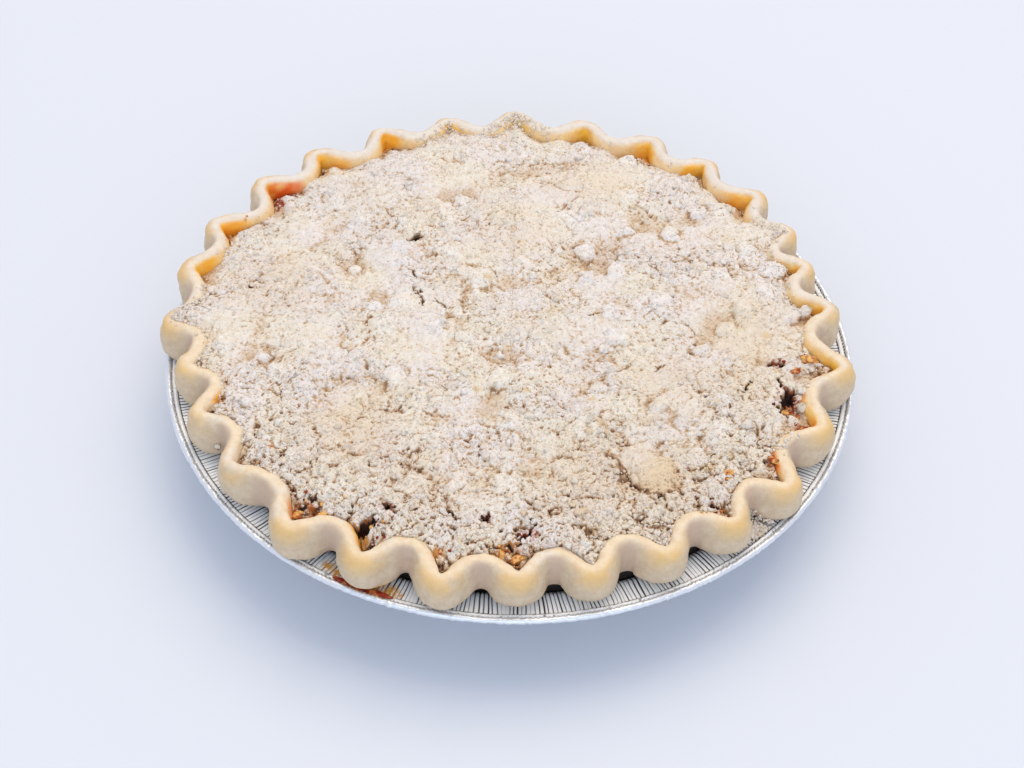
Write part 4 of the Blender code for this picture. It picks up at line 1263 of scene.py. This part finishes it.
def crumble_finish():
    """Dry pale crumbs with painted tan shade in their hollows and on their undersides and painted near-black shade in
    the cracks and holes, soaked with syrup near the filling.
    """
    crumb = Finish(
        "butter_crumble", Subsurface_Weight=0.12, Subsurface_Scale=0.0015, Subsurface_Radius=(1.0, 0.6, 0.35),
    )
    mixed, between, times, noise_of = crumb.mixed, crumb.between, crumb.times, crumb.noise
    warmth = between(noise_of(24), 0.38, 0.62)
    flour = mixed(warmth, (0.88, 0.815, 0.785), (0.89, 0.815, 0.72))
    cream = mixed(warmth, (0.765, 0.665, 0.59), (0.78, 0.67, 0.53))
    spots = times(between(noise_of(5.5, 3, 0.6), 0.60, 0.72), 0.55)
    warm = mixed(crumb.maths("MAXIMUM", "tan", spots), mixed("shade", cream, flour), (0.77, 0.58, 0.36))
    # Painted shade from the deep mark: tan-brown, then dark brown, in hollows, under crumbs and in cracks
    with_painted_shade = mixed(between("deep", 0.1, 0.6), warm, (0.62, 0.425, 0.26))
    with_painted_shade = mixed(between("deep", 0.5, 1.3), with_painted_shade, (0.28, 0.145, 0.07))
    speck = times("speckled", between(noise_of(0.8, 2), 0.56, 0.68), 0.85)
    with_painted_shade = mixed(speck, with_painted_shade, (0.37, 0.23, 0.125))
    soaked = between(times("syrup", noise_of(1.4, 4)), 0.32, 0.44)
    soaked = times(soaked, crumb.ranged(between("deep", 0.0, 0.35), 0.3, 1.0))
    syrupy = mixed(soaked, with_painted_shade, mixed("red", (0.74, 0.36, 0.07), (0.32, 0.05, 0.012)))
    crumb.drives(
        # Painted near-black shade in the deepest cracks and holes
        Base_Color=mixed(between("deep", 1.35, 2.4), syrupy, (0.05, 0.018, 0.012)),
        Roughness=crumb.ranged("syrup", 0.9, 0.45),
    )
    crumb.bump(noise_of(0.6, 4, 0.7), 0.3, 1.0)
    return crumb.material


# Setting


def add_to_scene(name, data):
    """An object of the scene that shows the data: a mesh, a lamp or a camera."""
    made = bpy.data.objects.new(name, data)
    bpy.context.scene.collection.objects.link(made)
    return made


def floor_and_light():
    """A pale plain floor, an even bluish sky, a broad soft lamp behind the pie and a weak bluish one in front."""
    corners = [(FLOOR_HALF * x, FLOOR_HALF * y, 0) for x, y in ((-1, -1), (1, -1), (1, 1), (-1, 1))]
    mesh = bpy.data.meshes.new("floor")
    mesh.from_pydata(corners, [], [(0, 1, 2, 3)])
    surface = Finish("pale_floor", Roughness=0.6)
    surface.drives(Base_Color=surface.mixed(surface.noise(300, 2), (0.705, 0.725, 0.785), (0.695, 0.715, 0.775)))
    mesh.materials.append(surface.material)
    add_to_scene("floor", mesh)
    world = bpy.data.worlds.new("sky")
    world.use_nodes = True
    background = world.node_tree.nodes["Background"]
    background.inputs["Color"].default_value = SKY
    background.inputs["Strength"].default_value = 1.0
    bpy.context.scene.world = world
    for name, colour, energy, size, spot in LAMPS:
        lamp = bpy.data.lights.new(name, "AREA")
        lamp.shape = "RECTANGLE"
        lamp.size, lamp.size_y = size
        lamp.energy = energy
        lamp.color = colour
        shining = add_to_scene(name, lamp)
        shining.location = spot
        aim = Vector(LAMPS_AIM) - shining.location
        shining.rotation_euler = aim.to_track_quat("-Z", "Y").to_euler()


def camera():
    """A camera that looks from the front at the rim's plane, rolled a little, as the picture was taken."""
    rise, roll = math.radians(CAMERA_RISE), math.radians(CAMERA_ROLL)
    spot = Vector((0, -math.cos(rise) * CAMERA_DISTANCE, math.sin(rise) * CAMERA_DISTANCE + RIM_HEIGHT)) * MM
    forward = (Vector((*AIM, RIM_HEIGHT)) * MM - spot).normalized()
    right = forward.cross(Vector((0, 0, 1))).normalized()
    up = right.cross(forward)
    rolled_right = math.cos(roll) * right + math.sin(roll) * up
    rolled_up = math.cos(roll) * up - math.sin(roll) * right
    lens = bpy.data.cameras.new("camera")
    lens.sensor_width = SENSOR
    lens.lens = FOCAL_PIXELS / IMAGE_WIDTH * SENSOR
    place = Matrix((rolled_right, rolled_up, -forward)).transposed().to_4x4()
    place.translation = spot
    eye = add_to_scene("camera", lens)
    eye.matrix_world = place
    bpy.context.scene.camera = eye


def apple_crumble_pie():
    """All pieces of the pie. The loose ones rest on the map of heights of the tin, the crust and the crumble."""
    crumble, fruit = crumble_finish(), fruit_finish()
    tin = foil_tin(foil_finish())
    crust = pastry_crust(pastry_finish())
    apple_filling(fruit)
    core = crumble_core(crumble)
    heights = height_map([tin, crust, core])
    loose_crumbs(crumble)
    spilled_crumbs(crumble, heights)
    apple_bits(fruit, heights)
    apple_pieces(fruit, heights)
    syrup_leak(fruit)


camera()
floor_and_light()
apple_crumble_pie()
bpy.context.scene.view_settings.view_transform = "Standard"
